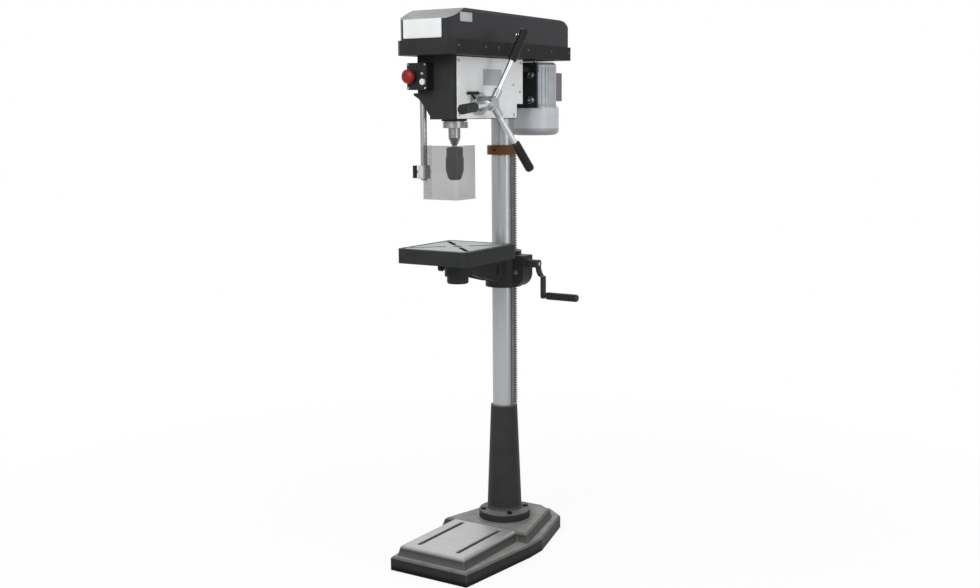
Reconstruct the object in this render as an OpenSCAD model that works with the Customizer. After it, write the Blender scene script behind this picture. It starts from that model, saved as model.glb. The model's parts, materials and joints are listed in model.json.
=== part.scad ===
// Floor-standing pillar drill press.
// Origin: column axis on the floor. The operator stands at -Y, the feed levers are on +X, +Z is up.

/* [Base] */
// Width of the foot at its front edge
base_front_w = 280; // [240:1:320]
// Widest width of the foot, beside the column
base_mid_w = 344; // [310:1:380]
// Width of the foot's rear edge
base_rear_w = 100; // [80:1:140]
// Reach of the foot in front of the column axis
base_front = 440; // [430:1:500]
// Reach of the foot behind the column axis
base_rear = 225; // [200:1:260]
// Height of the foot's outer ledge
ledge_h = 44; // [36:1:50]
// Height of the machined work pad
pad_h = 78; // [70:1:82]
// Width of the machined work pad
pad_w = 235; // [200:1:260]
// Height of the seat under the column flange
seat_h = 76; // [75:1:82]
// Width of the bolt slots in the work pad
slot_w = 14; // [10:1:18]
// End-to-end length of the bolt slots
slot_l = 250; // [160:1:260]
// Distance between the two bolt slots
slot_span = 142; // [110:1:170]
// Distance from the column axis to the middle of the slots
slot_reach = 262; // [255:1:280]
// Thickness of the foot's outer walls
wall_under = 16; // [12:1:20]
// Thickness of the foot's top faces
roof_t = 14; // [12:1:18]

/* [Column] */
// Outer diameter of the column tube
column_d = 73; // [70:0.5:76]
// Wall of the column tube
column_wall = 4; // [3:0.5:8]
// Height of the column's top end, inside the head
column_top = 1500; // [1480:1:1505]
// Diameter of the column flange
flange_d = 168; // [160:1:184]
// Thickness of the column flange
flange_t = 26; // [20:1:30]
// Pitch circle of the flange bolts
flange_pcd = 142; // [140:1:144]
// Thread diameter of the flange bolts
flange_bolt_d = 10; // [8:1:11]
// Diameter of the socket just above the flange
socket_low_d = 113; // [106:1:114]
// Diameter of the socket at its top
socket_top_d = 86; // [84:1:92]
// Height of the socket's top
socket_top = 455; // [420:1:470]
// Diameter of the rack collar
collar_d = 100; // [98:1:110]
// Height of the rack collar
collar_h = 30; // [20:1:36]
// Height of the rack collar's lower face
collar_z = 1263; // [1240:1:1300]
// Width of the lifting rack
rack_w = 20; // [16:1:22]
// Thickness of the lifting rack, teeth included
rack_t = 9.2; // [8.5:0.1:10]
// Tooth module of the lifting rack
rack_m = 2.5; // [2:0.1:2.6]

/* [Table] */
// Width of the table, from side to side
table_w = 248; // [230:1:284]
// Depth of the table, from front to back
table_l = 284; // [250:1:285]
// Height of the table top at rest
table_top = 995; // [960:1:1000]
// Height of the table's skirt
skirt_h = 44; // [38:1:50]
// Thickness of the table's plate
plate_t = 16; // [12:1:20]
// Thickness of the table's skirt
skirt_t = 12; // [8:1:16]
// Width of the diagonal clamping slots
table_slot_w = 14; // [10:1:16]
// Diameter of the hole through the table and its stem
table_hole_d = 28; // [20:1:30]
// Diameter of the table stem
stem_d = 40; // [36:1:44]
// Length of the stem below the skirt
stem_l = 70; // [66:1:76]
// Outer diameter of the arm's ring
ring_d = 80; // [70:1:84]
// Height of the arm's ring
ring_h = 40; // [34:1:44]
// Height of the tilt axis
tilt_z = 905; // [900:1:908]
// Diameter of the tilt faces
tilt_d = 76; // [64:1:78]
// Distance from the column axis to the tilt face
tilt_reach = 66; // [65:0.5:67]
// Diameter of the tilt bolt
tilt_bolt_d = 20; // [16:1:22]
// Outer diameter of the bracket around the column
bracket_d = 116; // [112:1:120]
// Height of the bracket's lower face
bracket_low = 843; // [838:1:848]
// Height of the bracket's upper face
bracket_top = 958; // [950:1:966]
// Width of the gear housing on the bracket
housing_w = 56; // [50:1:64]
// Height of the lift pinion's axis
lift_z = 892; // [890:1:894]
// Teeth of the lift pinion
lift_teeth = 15; // [14:1:16]
// Diameter of the crank worm
worm_d = 16; // [14:1:17]
// Radius of the crank
crank_r = 100; // [80:1:110]
// Diameter of the crank grip
crank_grip_d = 24; // [20:1:28]
// Length of the crank grip
crank_grip_l = 110; // [90:1:120]

/* [Head] */
// Distance from the column axis to the spindle axis
throat = 272; // [270:1:276]
// Width of the head casting
head_w = 96; // [94:1:100]
// Distance from the spindle axis to the head's front face
head_nose = 70; // [60:1:76]
// Distance from the column axis to the head's rear face
head_rear = 52; // [48:1:58]
// Height of the head's underside
head_low = 1376; // [1370:1:1380]
// Height of the head's top
head_top = 1560; // [1556:1:1564]
// Thickness of the side panels
panel_t = 2; // [1:0.5:3]
// Width of the switch housing, beside the head
switch_w = 36; // [32:1:40]
// Height of the switch housing
switch_h = 107; // [100:1:110]
// Diameter of the emergency stop button
stop_d = 42; // [34:1:46]

/* [Belt housing] */
// Width of the belt tray
tray_w = 206; // [200:1:216]
// Reach of the belt tray in front of the column axis
tray_front = 429; // [415:1:440]
// Reach of the belt tray behind the motor axis
tray_overhang = 67; // [64:1:80]
// Height of the belt tray
tray_h = 42; // [38:1:46]
// Wall of the belt tray and its cover
sheet_t = 3; // [2:0.5:4]
// Height of the cover above the tray
cover_h = 90; // [86:1:100]
// Inset of the cover from the tray's edge
cover_inset = 8; // [7.5:0.5:10]

/* [Spindle] */
// Diameter of the quill
quill_d = 60; // [58:0.5:62]
// Travel of the quill
quill_travel = 80; // [60:1:85]
// Height of the quill's lower end at rest
quill_low = 1350; // [1346:1:1354]
// Height of the quill's upper end at rest
quill_top = 1530; // [1526:1:1531]
// Diameter of the spindle inside the quill
spindle_d = 24; // [20:1:26]
// Diameter of the spindle nose
nose_d = 36; // [30:1:40]
// Diameter of the chuck's sleeve
chuck_d = 54; // [50:1:58]
// Height of the chuck's upper end
chuck_top = 1294; // [1290:1:1298]
// Length of the chuck
chuck_l = 98; // [94:1:104]
// Height of the feed shaft's axis
feed_z = 1421; // [1419:1:1424]
// Tooth module of the feed pinion
feed_m = 2; // [1.8:0.1:2]
// Teeth of the feed pinion
feed_teeth = 15; // [15:1:16]
// Diameter of the feed shaft
feed_shaft_d = 20; // [16:1:22]
// Diameter of the feed hub
hub_d = 44; // [40:1:50]
// Diameter of the depth dial
dial_d = 66; // [60:1:70]
// Length of each feed lever from the hub's axis
lever_l = 246; // [200:1:260]
// Outward lean of the feed levers in degrees
lever_lean = 12; // [8:1:18]
// Diameter of the lever rods
lever_d = 16; // [12:1:18]
// Diameter of the lever grips
grip_d = 28; // [24:1:32]
// Length of the lever grips
grip_l = 103; // [80:1:120]

/* [Drive] */
// Distance from the column axis back to the motor axis
motor_reach = 200; // [196:1:202]
// Diameter of the motor body
motor_d = 142; // [136:1:146]
// Diameter of the motor's fan cowl
cowl_d = 158; // [152:1:162]
// Height of the cowl's lower end
motor_low = 1320; // [1310:1:1330]
// Height of the fan cowl
cowl_h = 88; // [80:1:96]
// Height of the motor's upper end
motor_top = 1554; // [1550:1:1556]
// Diameter of the motor shaft
motor_shaft_d = 19; // [16:1:24]
// Largest pulley radius
pulley_big = 60; // [56:1:62]
// Change of radius from one pulley step to the next
pulley_step = 10; // [8:1:10]
// Height of one pulley step
step_h = 18; // [16:1:19]
// Width of a belt
belt_w = 7; // [5:0.5:8]
// Distance from the column axis to the idler axis
idler_reach = 42; // [38:1:46]

/* [Guard] */
// Diameter of the guard rod
rod_d = 20; // [16:1:22]
// Width of the shield
shield_w = 128; // [124:1:130]
// Height of the shield
shield_h = 159; // [130:1:165]
// Thickness of the shield
shield_t = 3; // [2:0.5:4]
// Height of the shield's lower edge
shield_low = 1141; // [1138:1:1150]

/* [Fits] */
// Radial clearance of running fits
run_gap = 0.05; // [0.03:0.01:0.08]
// Clearance between faces that pass each other
face_gap = 0.3; // [0.3:0.05:0.4]

/* [Hidden] */
$fn = 64;

// Colours of the painted and bare surfaces
cast_grey = [0.46, 0.47, 0.45];
dark_paint = [0.17, 0.17, 0.17];
cover_paint = [0.22, 0.20, 0.23];
white_paint = [0.85, 0.86, 0.86];
motor_paint = [0.66, 0.68, 0.69];
bright_steel = [0.74, 0.75, 0.77];
black_plastic = [0.06, 0.06, 0.06];

// General helpers
cut = 1;
tray_rear = motor_reach + tray_overhang;
function inset_chamfer(c, d) = c - d * (2 - sqrt(2));
module block(x, y, z) {
  translate([x[0], y[0], z[0]]) cube([x[1] - x[0], y[1] - y[0], z[1] - z[0]]);
}
module rod_x(r, x, y, z) {
  translate([x[0], y, z]) rotate([0, 90, 0]) cylinder(h = x[1] - x[0], r = r);
}
module rod_y(r, x, y, z) {
  translate([x, y[1], z]) rotate([90, 0, 0]) cylinder(h = y[1] - y[0], r = r);
}
module rod_z(r, x, y, z) {
  translate([x, y, z[0]]) cylinder(h = z[1] - z[0], r = r);
}
module side_profile(x) {
  translate([x[0], 0, 0]) rotate([90, 0, 90]) linear_extrude(x[1] - x[0]) children();
}
module round_square(w, l, r) {
  square([w - 2 * r, l], center = true);
  square([w, l - 2 * r], center = true);
  for (i = [-1, 1], j = [-1, 1]) translate([i * (w / 2 - r), j * (l / 2 - r)]) circle(r);
}
module slot_shape(w, l) {
  square([w, l - w], center = true);
  for (j = [-1, 1]) translate([0, j * (l - w) / 2]) circle(d = w);
}

// Involute gears and straight racks share one set of tooth proportions
pressure_angle = 20;
tooth_add = 0.8;
tooth_ded = 1.25;
tooth_thin = 0.3;
flank_steps = 4;
function roll_angle(r, rb) = let (t = sqrt(max(0, pow(r / rb, 2) - 1))) t * 180 / PI - atan(t);
module gear_shape(m, teeth) {
  rp = m * teeth / 2;
  rb = rp * cos(pressure_angle);
  root = rp - tooth_ded * m;
  tip = rp + tooth_add * m;
  thin = tooth_thin / rp * 90 / PI;
  radii = concat([root], [for (i = [0:flank_steps]) rb + (tip - rb) * i / flank_steps]);
  half = [for (r = radii) 90 / teeth - thin + roll_angle(rp, rb) - roll_angle(r, rb)];
  last = len(radii) - 1;
  polygon([
    for (k = [0:teeth - 1]) each concat(
      [for (i = [0:last]) let (a = 360 * k / teeth - half[i]) radii[i] * [cos(a), sin(a)]],
      [for (i = [last:-1:0]) let (a = 360 * k / teeth + half[i]) radii[i] * [cos(a), sin(a)]]
    )
  ]);
}
// A rack's outline: teeth point along +X, a gap is centred on height z_gap
module rack_shape(m, back, tip, low, high, z_gap) {
  pitch = PI * m;
  mid = (pitch - tooth_thin) / 4 - tooth_thin / 4;
  tip_half = mid - tooth_add * m * tan(pressure_angle);
  root_half = mid + tooth_ded * m * tan(pressure_angle);
  root = tip - (tooth_add + tooth_ded) * m;
  first = ceil((low + root_half - z_gap) / pitch - 0.5);
  last = floor((high - root_half - z_gap) / pitch - 0.5);
  polygon(concat(
    [[back, low], [root, low]],
    [for (i = [first:last], e = [[root, -root_half], [tip, -tip_half], [tip, tip_half], [root, root_half]])
      [e[0], z_gap + (i + 0.5) * pitch + e[1]]],
    [[root, high], [back, high]]
  ));
}

// Foot
base_wide_front = 125;
base_wide_rear = 50;
base_shoulder_w = 220;
base_shoulder_y = 180;
pad_margin = 21;
pad_draft = 8;
plateau_h = 74;
plateau_w = 314;
plateau_front = 120;
plateau_side_w = 186;
plateau_side_y = 138;
plateau_rear_w = 96;
plateau_rear_y = 164;
skin = 0.5;
cast_edge = 6;
seat_margin = 8;
seat_t = 36;
pillar_r = 40;
foot_rib_t = 12;
slot_wall = 12;
front_half = base_front_w / 2;
mid_half = base_mid_w / 2;
slot_half = slot_span / 2;
function base_points() = [
  [-front_half, -base_front], [front_half, -base_front],
  [mid_half, -base_wide_front], [mid_half, -base_wide_rear],
  [base_shoulder_w / 2, base_shoulder_y], [base_rear_w / 2, base_rear],
  [-base_rear_w / 2, base_rear], [-base_shoulder_w / 2, base_shoulder_y],
  [-mid_half, -base_wide_rear], [-mid_half, -base_wide_front]
];
module flat_at(z) { translate([0, 0, z]) linear_extrude(skin) children(); }
// A step on the foot: its walls lean in a little and its top edge is broken
module raised_step(low, h, draft) {
  hull() {
    flat_at(low) offset(delta = draft) children();
    flat_at(h - cast_edge) children();
    flat_at(h - skin) offset(delta = -cast_edge) children();
  }
}
module pad_shape() {
  polygon([
    [-pad_w / 2, pad_margin - base_front], [pad_w / 2, pad_margin - base_front],
    [pad_w / 2, -plateau_front], [-pad_w / 2, -plateau_front]
  ]);
}
module plateau_shape() {
  polygon([
    [-plateau_w / 2, -plateau_front], [plateau_w / 2, -plateau_front],
    [plateau_side_w / 2, plateau_side_y], [plateau_rear_w / 2, plateau_rear_y],
    [-plateau_rear_w / 2, plateau_rear_y], [-plateau_side_w / 2, plateau_side_y]
  ]);
}
module under_pocket(h) {
  translate([0, 0, -cut]) linear_extrude(h - roof_t + cut) offset(delta = -wall_under) children();
}
// The open underside: ribs, a pillar under the column and walls around the slots are left standing
module foot_hollow() {
  seat_r = flange_d / 2 + seat_margin;
  difference() {
    union() {
      under_pocket(ledge_h) polygon(base_points());
      under_pocket(pad_h) pad_shape();
      under_pocket(plateau_h) plateau_shape();
    }
    for (s = [-1, 1]) translate([s * slot_half, -slot_reach, -2 * cut])
      linear_extrude(pad_h) slot_shape(slot_w + 2 * slot_wall, slot_l + 2 * slot_wall);
    rod_z(seat_r, 0, 0, [seat_h - seat_t, seat_h]);
    rod_z(pillar_r, 0, 0, [-2 * cut, seat_h]);
    block([-foot_rib_t / 2, foot_rib_t / 2], [-base_front, base_rear], [-2 * cut, pad_h]);
    for (y = [0, -plateau_front])
      block([-mid_half, mid_half], [y - foot_rib_t / 2, y + foot_rib_t / 2], [-2 * cut, pad_h]);
  }
}
flange_bolt_r = flange_bolt_d / 2;
flange_head_h = flange_bolt_d * 0.65;
flange_head_r = flange_bolt_d * 0.85;
flange_bolt_l = 40;
module at_flange_bolts() {
  for (a = [45:90:315]) rotate(a) translate([flange_pcd / 2, 0, 0]) children();
}
module base_plate() {
  color(cast_grey) difference() {
    union() {
      raised_step(0, ledge_h, 0) polygon(base_points());
      raised_step(ledge_h - cast_edge, pad_h, pad_draft) pad_shape();
      raised_step(ledge_h - cast_edge, plateau_h, pad_draft) plateau_shape();
      rod_z(flange_d / 2 + seat_margin, 0, 0, [ledge_h, seat_h]);
    }
    foot_hollow();
    for (s = [-1, 1]) translate([s * slot_half, -slot_reach, -cut])
      linear_extrude(pad_h + 2 * cut) slot_shape(slot_w, slot_l);
    at_flange_bolts() rod_z(flange_bolt_r + run_gap, 0, 0, [seat_h + flange_t - flange_bolt_l, seat_h + cut]);
  }
}

// Column, its socket and the lifting rack
column_r = column_d / 2;
bore_r = column_r + run_gap;
socket_lip = 3;
socket_fillet = 5;
fillet_steps = 6;
module column_socket() {
  low_r = socket_low_d / 2;
  top_r = socket_top_d / 2;
  flange_r = flange_d / 2;
  shelf = seat_h + flange_t;
  color(dark_paint) difference() {
    rotate_extrude() polygon(concat(
      [[bore_r, seat_h], [flange_r, seat_h], [flange_r, shelf - socket_lip], [flange_r - socket_lip, shelf]],
      [for (i = [0:fillet_steps]) let (a = 90 * i / fillet_steps)
        [low_r + socket_fillet * (1 - sin(a)), shelf + socket_fillet * (1 - cos(a))]],
      [[top_r, socket_top - socket_lip], [top_r - socket_lip, socket_top], [bore_r, socket_top]]
    ));
    at_flange_bolts() rod_z(flange_bolt_r + run_gap, 0, 0, [seat_h - cut, shelf + cut]);
  }
}
module flange_bolts() {
  color(black_plastic) at_flange_bolts() {
    rod_z(flange_bolt_r, 0, 0, [seat_h + flange_t - flange_bolt_l, seat_h + flange_t]);
    translate([0, 0, seat_h + flange_t]) cylinder(h = flange_head_h, r = flange_head_r, $fn = 6);
  }
}
module column() {
  color(bright_steel) difference() {
    rod_z(column_r, 0, 0, [seat_h, column_top]);
    rod_z(column_r - column_wall, 0, 0, [seat_h - cut, column_top + cut]);
  }
}
rack_back = column_r + face_gap;
rack_tip = rack_back + rack_t;
rack_low = socket_top + face_gap;
rack_high = collar_z - face_gap;
lift_r = rack_m * lift_teeth / 2;
lift_tip_r = lift_r + tooth_add * rack_m;
lift_x = rack_tip - tooth_add * rack_m + lift_r;
module table_rack() {
  color(bright_steel) translate([0, rack_w / 2, 0]) rotate([90, 0, 0]) linear_extrude(rack_w)
    rack_shape(rack_m, rack_back, rack_tip, rack_low, rack_high, lift_z);
}
collar_screw_d = 8;
module rack_collar() {
  edge = 3;
  r = collar_d / 2;
  color([0.31, 0.22, 0.10]) difference() {
    rotate_extrude() polygon([
      [bore_r, collar_z], [r, collar_z], [r, collar_z + collar_h - edge],
      [r - edge, collar_z + collar_h], [bore_r, collar_z + collar_h]
    ]);
    rod_y(collar_screw_d / 2, 0, [-r - cut, -bore_r + cut], collar_z + collar_h / 2);
  }
}

// Table bracket: a sleeve on the column with a gear housing and a tilt face
clamp_ear_w = 52;
clamp_ear_y = 90;
clamp_ear_h = 46;
clamp_slit = 6;
clamp_bolt_d = 12;
clamp_bolt_y = 76;
clamp_z = 905;
housing_r = 45;
housing_x = 47;
housing_high = 946;
pinion_w = 16;
axle_d = 14;
worm_gap = 0.4;
crank_boss_d = 28;
crank_boss_x = 106;
crank_z = lift_z + lift_tip_r + worm_d / 2 + worm_gap;
worm_far = lift_x + lift_r;
worm_near = rack_tip + 3;
tilt_r = tilt_d / 2;
module table_bracket() {
  color(dark_paint) difference() {
    union() {
      rod_z(bracket_d / 2, 0, 0, [bracket_low, bracket_top]);
      rod_y(housing_r, housing_x, [-housing_w / 2, housing_w / 2], bracket_low + housing_r + cut);
      block([0, housing_x + housing_r], [-housing_w / 2, housing_w / 2],
        [bracket_low + housing_r + cut, housing_high]);
      rod_x(crank_boss_d / 2, [housing_x, crank_boss_x], 0, crank_z);
      rod_y(tilt_r, 0, [-tilt_reach, 0], tilt_z);
      block([-clamp_ear_w / 2, clamp_ear_w / 2], [0, clamp_ear_y],
        [clamp_z - clamp_ear_h / 2, clamp_z + clamp_ear_h / 2]);
    }
    rod_z(bore_r, 0, 0, [bracket_low - cut, bracket_top + cut]);
    block([0, rack_tip + face_gap], [-rack_w / 2 - face_gap, rack_w / 2 + face_gap],
      [bracket_low - cut, bracket_top + cut]);
    block([-clamp_slit / 2, clamp_slit / 2], [0, clamp_ear_y + cut], [bracket_low - cut, bracket_top + cut]);
    rod_x(clamp_bolt_d / 2 + run_gap, [-clamp_ear_w / 2 - cut, clamp_ear_w / 2 + cut], clamp_bolt_y, clamp_z);
    rod_y(lift_tip_r + face_gap, lift_x, [-pinion_w / 2 - face_gap, pinion_w / 2 + face_gap], lift_z);
    rod_y(axle_d / 2 + run_gap, lift_x, [-housing_w / 2 - cut, housing_w / 2 + cut], lift_z);
    rod_x(worm_d / 2 + face_gap, [rack_tip, worm_far + face_gap], 0, crank_z);
    rod_x(worm_d / 2 + run_gap, [worm_far, crank_boss_x + cut], 0, crank_z);
    rod_y(tilt_bolt_d / 2 + run_gap, 0, [-tilt_reach - cut, -bore_r], tilt_z);
  }
}
lever_hub_d = 20;
lever_hub_l = 12;
handle_d = 10;
handle_l = 78;
handle_ball_d = 18;
// A clamp lever: a hub on the -X side of its screw with a straight handle and a ball end
module clamp_handle(x, y, z, turn) {
  translate([x, y, z]) {
    rod_x(lever_hub_d / 2, [-lever_hub_l, 0], 0, 0);
    rotate([turn, 0, 0]) {
      rod_z(handle_d / 2, -lever_hub_l / 2, 0, [0, handle_l]);
      translate([-lever_hub_l / 2, 0, handle_l]) sphere(d = handle_ball_d);
    }
  }
}
column_lever_turn = -135;
module column_clamp_lever() {
  color(black_plastic) {
    rod_x(clamp_bolt_d / 2, [-clamp_ear_w / 2 - face_gap - cut, clamp_ear_w / 2 + face_gap],
      clamp_bolt_y, clamp_z);
    rod_x(lever_hub_d / 2, [clamp_ear_w / 2 + face_gap, clamp_ear_w / 2 + lever_hub_l],
      clamp_bolt_y, clamp_z);
    clamp_handle(-clamp_ear_w / 2 - face_gap, clamp_bolt_y, clamp_z, column_lever_turn);
  }
}
module lift_pinion() {
  color(bright_steel) translate([lift_x, pinion_w / 2, lift_z]) rotate([90, 0, 0]) {
    linear_extrude(pinion_w) rotate(180) gear_shape(rack_m, lift_teeth);
    translate([0, 0, (pinion_w - housing_w) / 2]) cylinder(h = housing_w, d = axle_d);
  }
}
worm_throw = 1.6;
worm_slices = 24;
crank_hub_d = 26;
crank_hub_l = 28;
crank_spigot_d = 12;
crank_hub_x = crank_boss_x + face_gap;
module crank_shaft() {
  worm_l = worm_far - worm_near;
  color(bright_steel) {
    translate([worm_near, 0, crank_z]) rotate([0, 90, 0])
      linear_extrude(worm_l, twist = -360 * worm_l / (PI * rack_m), slices = worm_slices)
        translate([worm_throw, 0]) circle(r = worm_d / 2 - worm_throw, $fn = 24);
    rod_x(worm_d / 2, [worm_far, crank_hub_x], 0, crank_z);
    rod_x(crank_spigot_d / 2, [crank_hub_x, crank_hub_x + crank_hub_l], 0, crank_z);
  }
}
crank_bar_t = 9;
crank_bar_w = 20;
crank_offset = 18;
crank_bend = 34;
crank_pin_d = 10;
grip_stub = 8;
crank_bar_x = crank_hub_x + crank_hub_l - crank_bar_t;
grip_x = crank_bar_x + crank_offset + crank_bar_t + grip_stub;
module crank_arm() {
  low = crank_z - crank_r;
  x = crank_bar_x;
  far = x + crank_offset;
  color(dark_paint) {
    difference() {
      union() {
        rod_x(crank_hub_d / 2, [crank_hub_x, crank_hub_x + crank_hub_l], 0, crank_z);
        translate([0, crank_bar_w / 2, 0]) rotate([90, 0, 0]) linear_extrude(crank_bar_w) polygon(concat(
          [[x, crank_z]],
          [for (i = [0:fillet_steps]) let (a = 90 * i / fillet_steps)
            [x + crank_offset * (1 - cos(a)), crank_z - crank_hub_d / 4 - crank_bend * sin(a)]],
          [[far, low], [far + crank_bar_t, low]],
          [for (i = [fillet_steps:-1:0]) let (a = 90 * i / fillet_steps)
            [x + crank_bar_t + crank_offset * (1 - cos(a)),
              crank_z - crank_hub_d / 4 - crank_bend * sin(a) + cut]],
          [[x + crank_bar_t, crank_z]]
        ));
        rod_x(crank_bar_w / 2, [far, far + crank_bar_t], 0, low);
        rod_x(crank_bar_w / 3, [far, grip_x - face_gap], 0, low);
        rod_x(crank_pin_d / 2, [far, grip_x + crank_grip_l], 0, low);
      }
      rod_x(crank_spigot_d / 2 + run_gap, [crank_hub_x - cut, crank_hub_x + crank_hub_l + cut], 0, crank_z);
    }
  }
}
grip_end = 5;
crank_ribs = 12;
rib_deep = 1.8;
module crank_grip() {
  r = crank_grip_d / 2;
  pitch = (crank_grip_l - 2 * grip_end) / crank_ribs;
  color(black_plastic) translate([grip_x, 0, crank_z - crank_r]) rotate([0, 90, 0]) difference() {
    rotate_extrude() polygon(concat(
      [[crank_pin_d / 2 + run_gap, 0], [r - rib_deep, 0], [r, grip_end]],
      [for (i = [0:crank_ribs - 1], e = [[0.5, 0], [0.65, 1], [0.85, 1], [1, 0]])
        [r - e[1] * rib_deep, grip_end + (i + e[0]) * pitch]],
      [[r - rib_deep, crank_grip_l], [crank_pin_d / 2 + run_gap, crank_grip_l]]
    ));
  }
}
bolt_head_h = 12;
bolt_head_r = 15;
tilt_wall = 20;
module tilt_bolt() {
  wall_y = -tilt_reach - face_gap - tilt_wall;
  color(bright_steel) {
    rod_y(tilt_bolt_d / 2, 0, [wall_y - face_gap, -bore_r - cut], tilt_z);
    translate([0, wall_y - face_gap, tilt_z]) rotate([90, 0, 0])
      cylinder(h = bolt_head_h, r = bolt_head_r, $fn = 6);
  }
}
arm_w = 60;
arm_wall = 10;
arm_top_z = 943;
arm_root_low = 868;
arm_mid_y = 190;
arm_mid_z = 893;
table_boss_drop = 6;
table_shift = 10;
skirt_low = table_top - skirt_h;
ring_top = skirt_low - face_gap - table_boss_drop;
ring_low = ring_top - ring_h;
arm_root = tilt_reach + face_gap;
table_y = -throat + table_shift;
arm_tip = -table_y - ring_d / 2 + cut;
table_lever_screw_d = 12;
table_lever_reach = 15;
table_lever_turn = -100;
module table_arm() {
  hollow = arm_w / 2 - arm_wall;
  color(dark_paint) difference() {
    union() {
      rod_y(tilt_r, 0, [-arm_root - tilt_wall, -arm_root], tilt_z);
      side_profile([-arm_w / 2, arm_w / 2]) polygon([
        [-arm_root, arm_top_z], [-arm_root, arm_root_low], [-arm_root - tilt_wall, arm_root_low],
        [-arm_mid_y, arm_mid_z], [-arm_tip, ring_low], [table_y, ring_low],
        [table_y, ring_top], [-arm_tip, ring_top]
      ]);
      rod_z(ring_d / 2, 0, table_y, [ring_low, ring_top]);
    }
    block([-hollow, hollow], [-arm_tip + arm_wall, -arm_root - tilt_wall],
      [arm_root_low - cut, arm_top_z - arm_wall]);
    rod_z(stem_d / 2 + run_gap, 0, table_y, [ring_low - cut, ring_top + cut]);
    rod_y(tilt_bolt_d / 2 + run_gap, 0, [-arm_root - tilt_wall - cut, -arm_root + cut], tilt_z);
    rod_x(table_lever_screw_d / 2 + run_gap, [-ring_d / 2 - cut, -stem_d / 2],
      table_y, (ring_low + ring_top) / 2);
  }
}
table_corner_r = 15;
groove_w = 8;
groove_t = 3;
groove_inset = 7;
slot_inner = 34;
slot_outer = 148;
rib_t = 8;
boss_wide = 6;
module table_slots(z) {
  for (a = [45:90:315]) rotate(a) translate([0, (slot_inner + slot_outer) / 2, z[0]])
    linear_extrude(z[1] - z[0]) slot_shape(table_slot_w, slot_outer - slot_inner);
}
module table() {
  inner_w = table_w - 2 * skirt_t;
  inner_l = table_l - 2 * skirt_t;
  plate_low = table_top - plate_t;
  lip_w = table_w - 2 * groove_inset;
  lip_l = table_l - 2 * groove_inset;
  rib_z = [skirt_low + rib_t, plate_low + cut];
  boss_r = ring_d / 2 - boss_wide;
  color([0.30, 0.30, 0.31]) translate([0, table_y, 0]) difference() {
    union() {
      difference() {
        translate([0, 0, skirt_low]) linear_extrude(skirt_h) round_square(table_w, table_l, table_corner_r);
        translate([0, 0, skirt_low - cut]) linear_extrude(skirt_h - plate_t + cut)
          round_square(inner_w, inner_l, table_corner_r);
      }
      block([-inner_w / 2 - cut, inner_w / 2 + cut], [-rib_t / 2, rib_t / 2], rib_z);
      block([-rib_t / 2, rib_t / 2], [-inner_l / 2 - cut, inner_l / 2 + cut], rib_z);
      rod_z(boss_r, 0, 0, [ring_top + face_gap, plate_low + cut]);
      rod_z(stem_d / 2, 0, 0, [skirt_low - stem_l, plate_low]);
    }
    rod_z(table_hole_d / 2, 0, 0, [skirt_low - stem_l - cut, table_top + cut]);
    table_slots([skirt_low - cut, table_top + cut]);
    translate([0, 0, table_top - groove_t]) linear_extrude(groove_t + cut) difference() {
      round_square(lip_w, lip_l, table_corner_r - groove_inset / 2);
      round_square(lip_w - 2 * groove_w, lip_l - 2 * groove_w, table_corner_r - groove_inset);
    }
  }
}
stem_ring_d = 66;
module stem_ring() {
  low = skirt_low - stem_l + cut;
  high = ring_low - face_gap;
  edge = 3;
  color(dark_paint) translate([0, table_y, 0]) rotate_extrude() polygon([
    [stem_d / 2 + run_gap, low], [stem_ring_d / 2 - edge, low], [stem_ring_d / 2, low + edge],
    [stem_ring_d / 2, high], [stem_d / 2 + run_gap, high]
  ]);
}
module table_clamp_lever() {
  z = (ring_low + ring_top) / 2;
  x = -ring_d / 2 - face_gap;
  color(black_plastic) {
    rod_x(table_lever_screw_d / 2, [x - table_lever_reach, -stem_d / 2 - face_gap], table_y, z);
    clamp_handle(x - table_lever_reach, table_y, z, table_lever_turn);
  }
}

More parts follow.
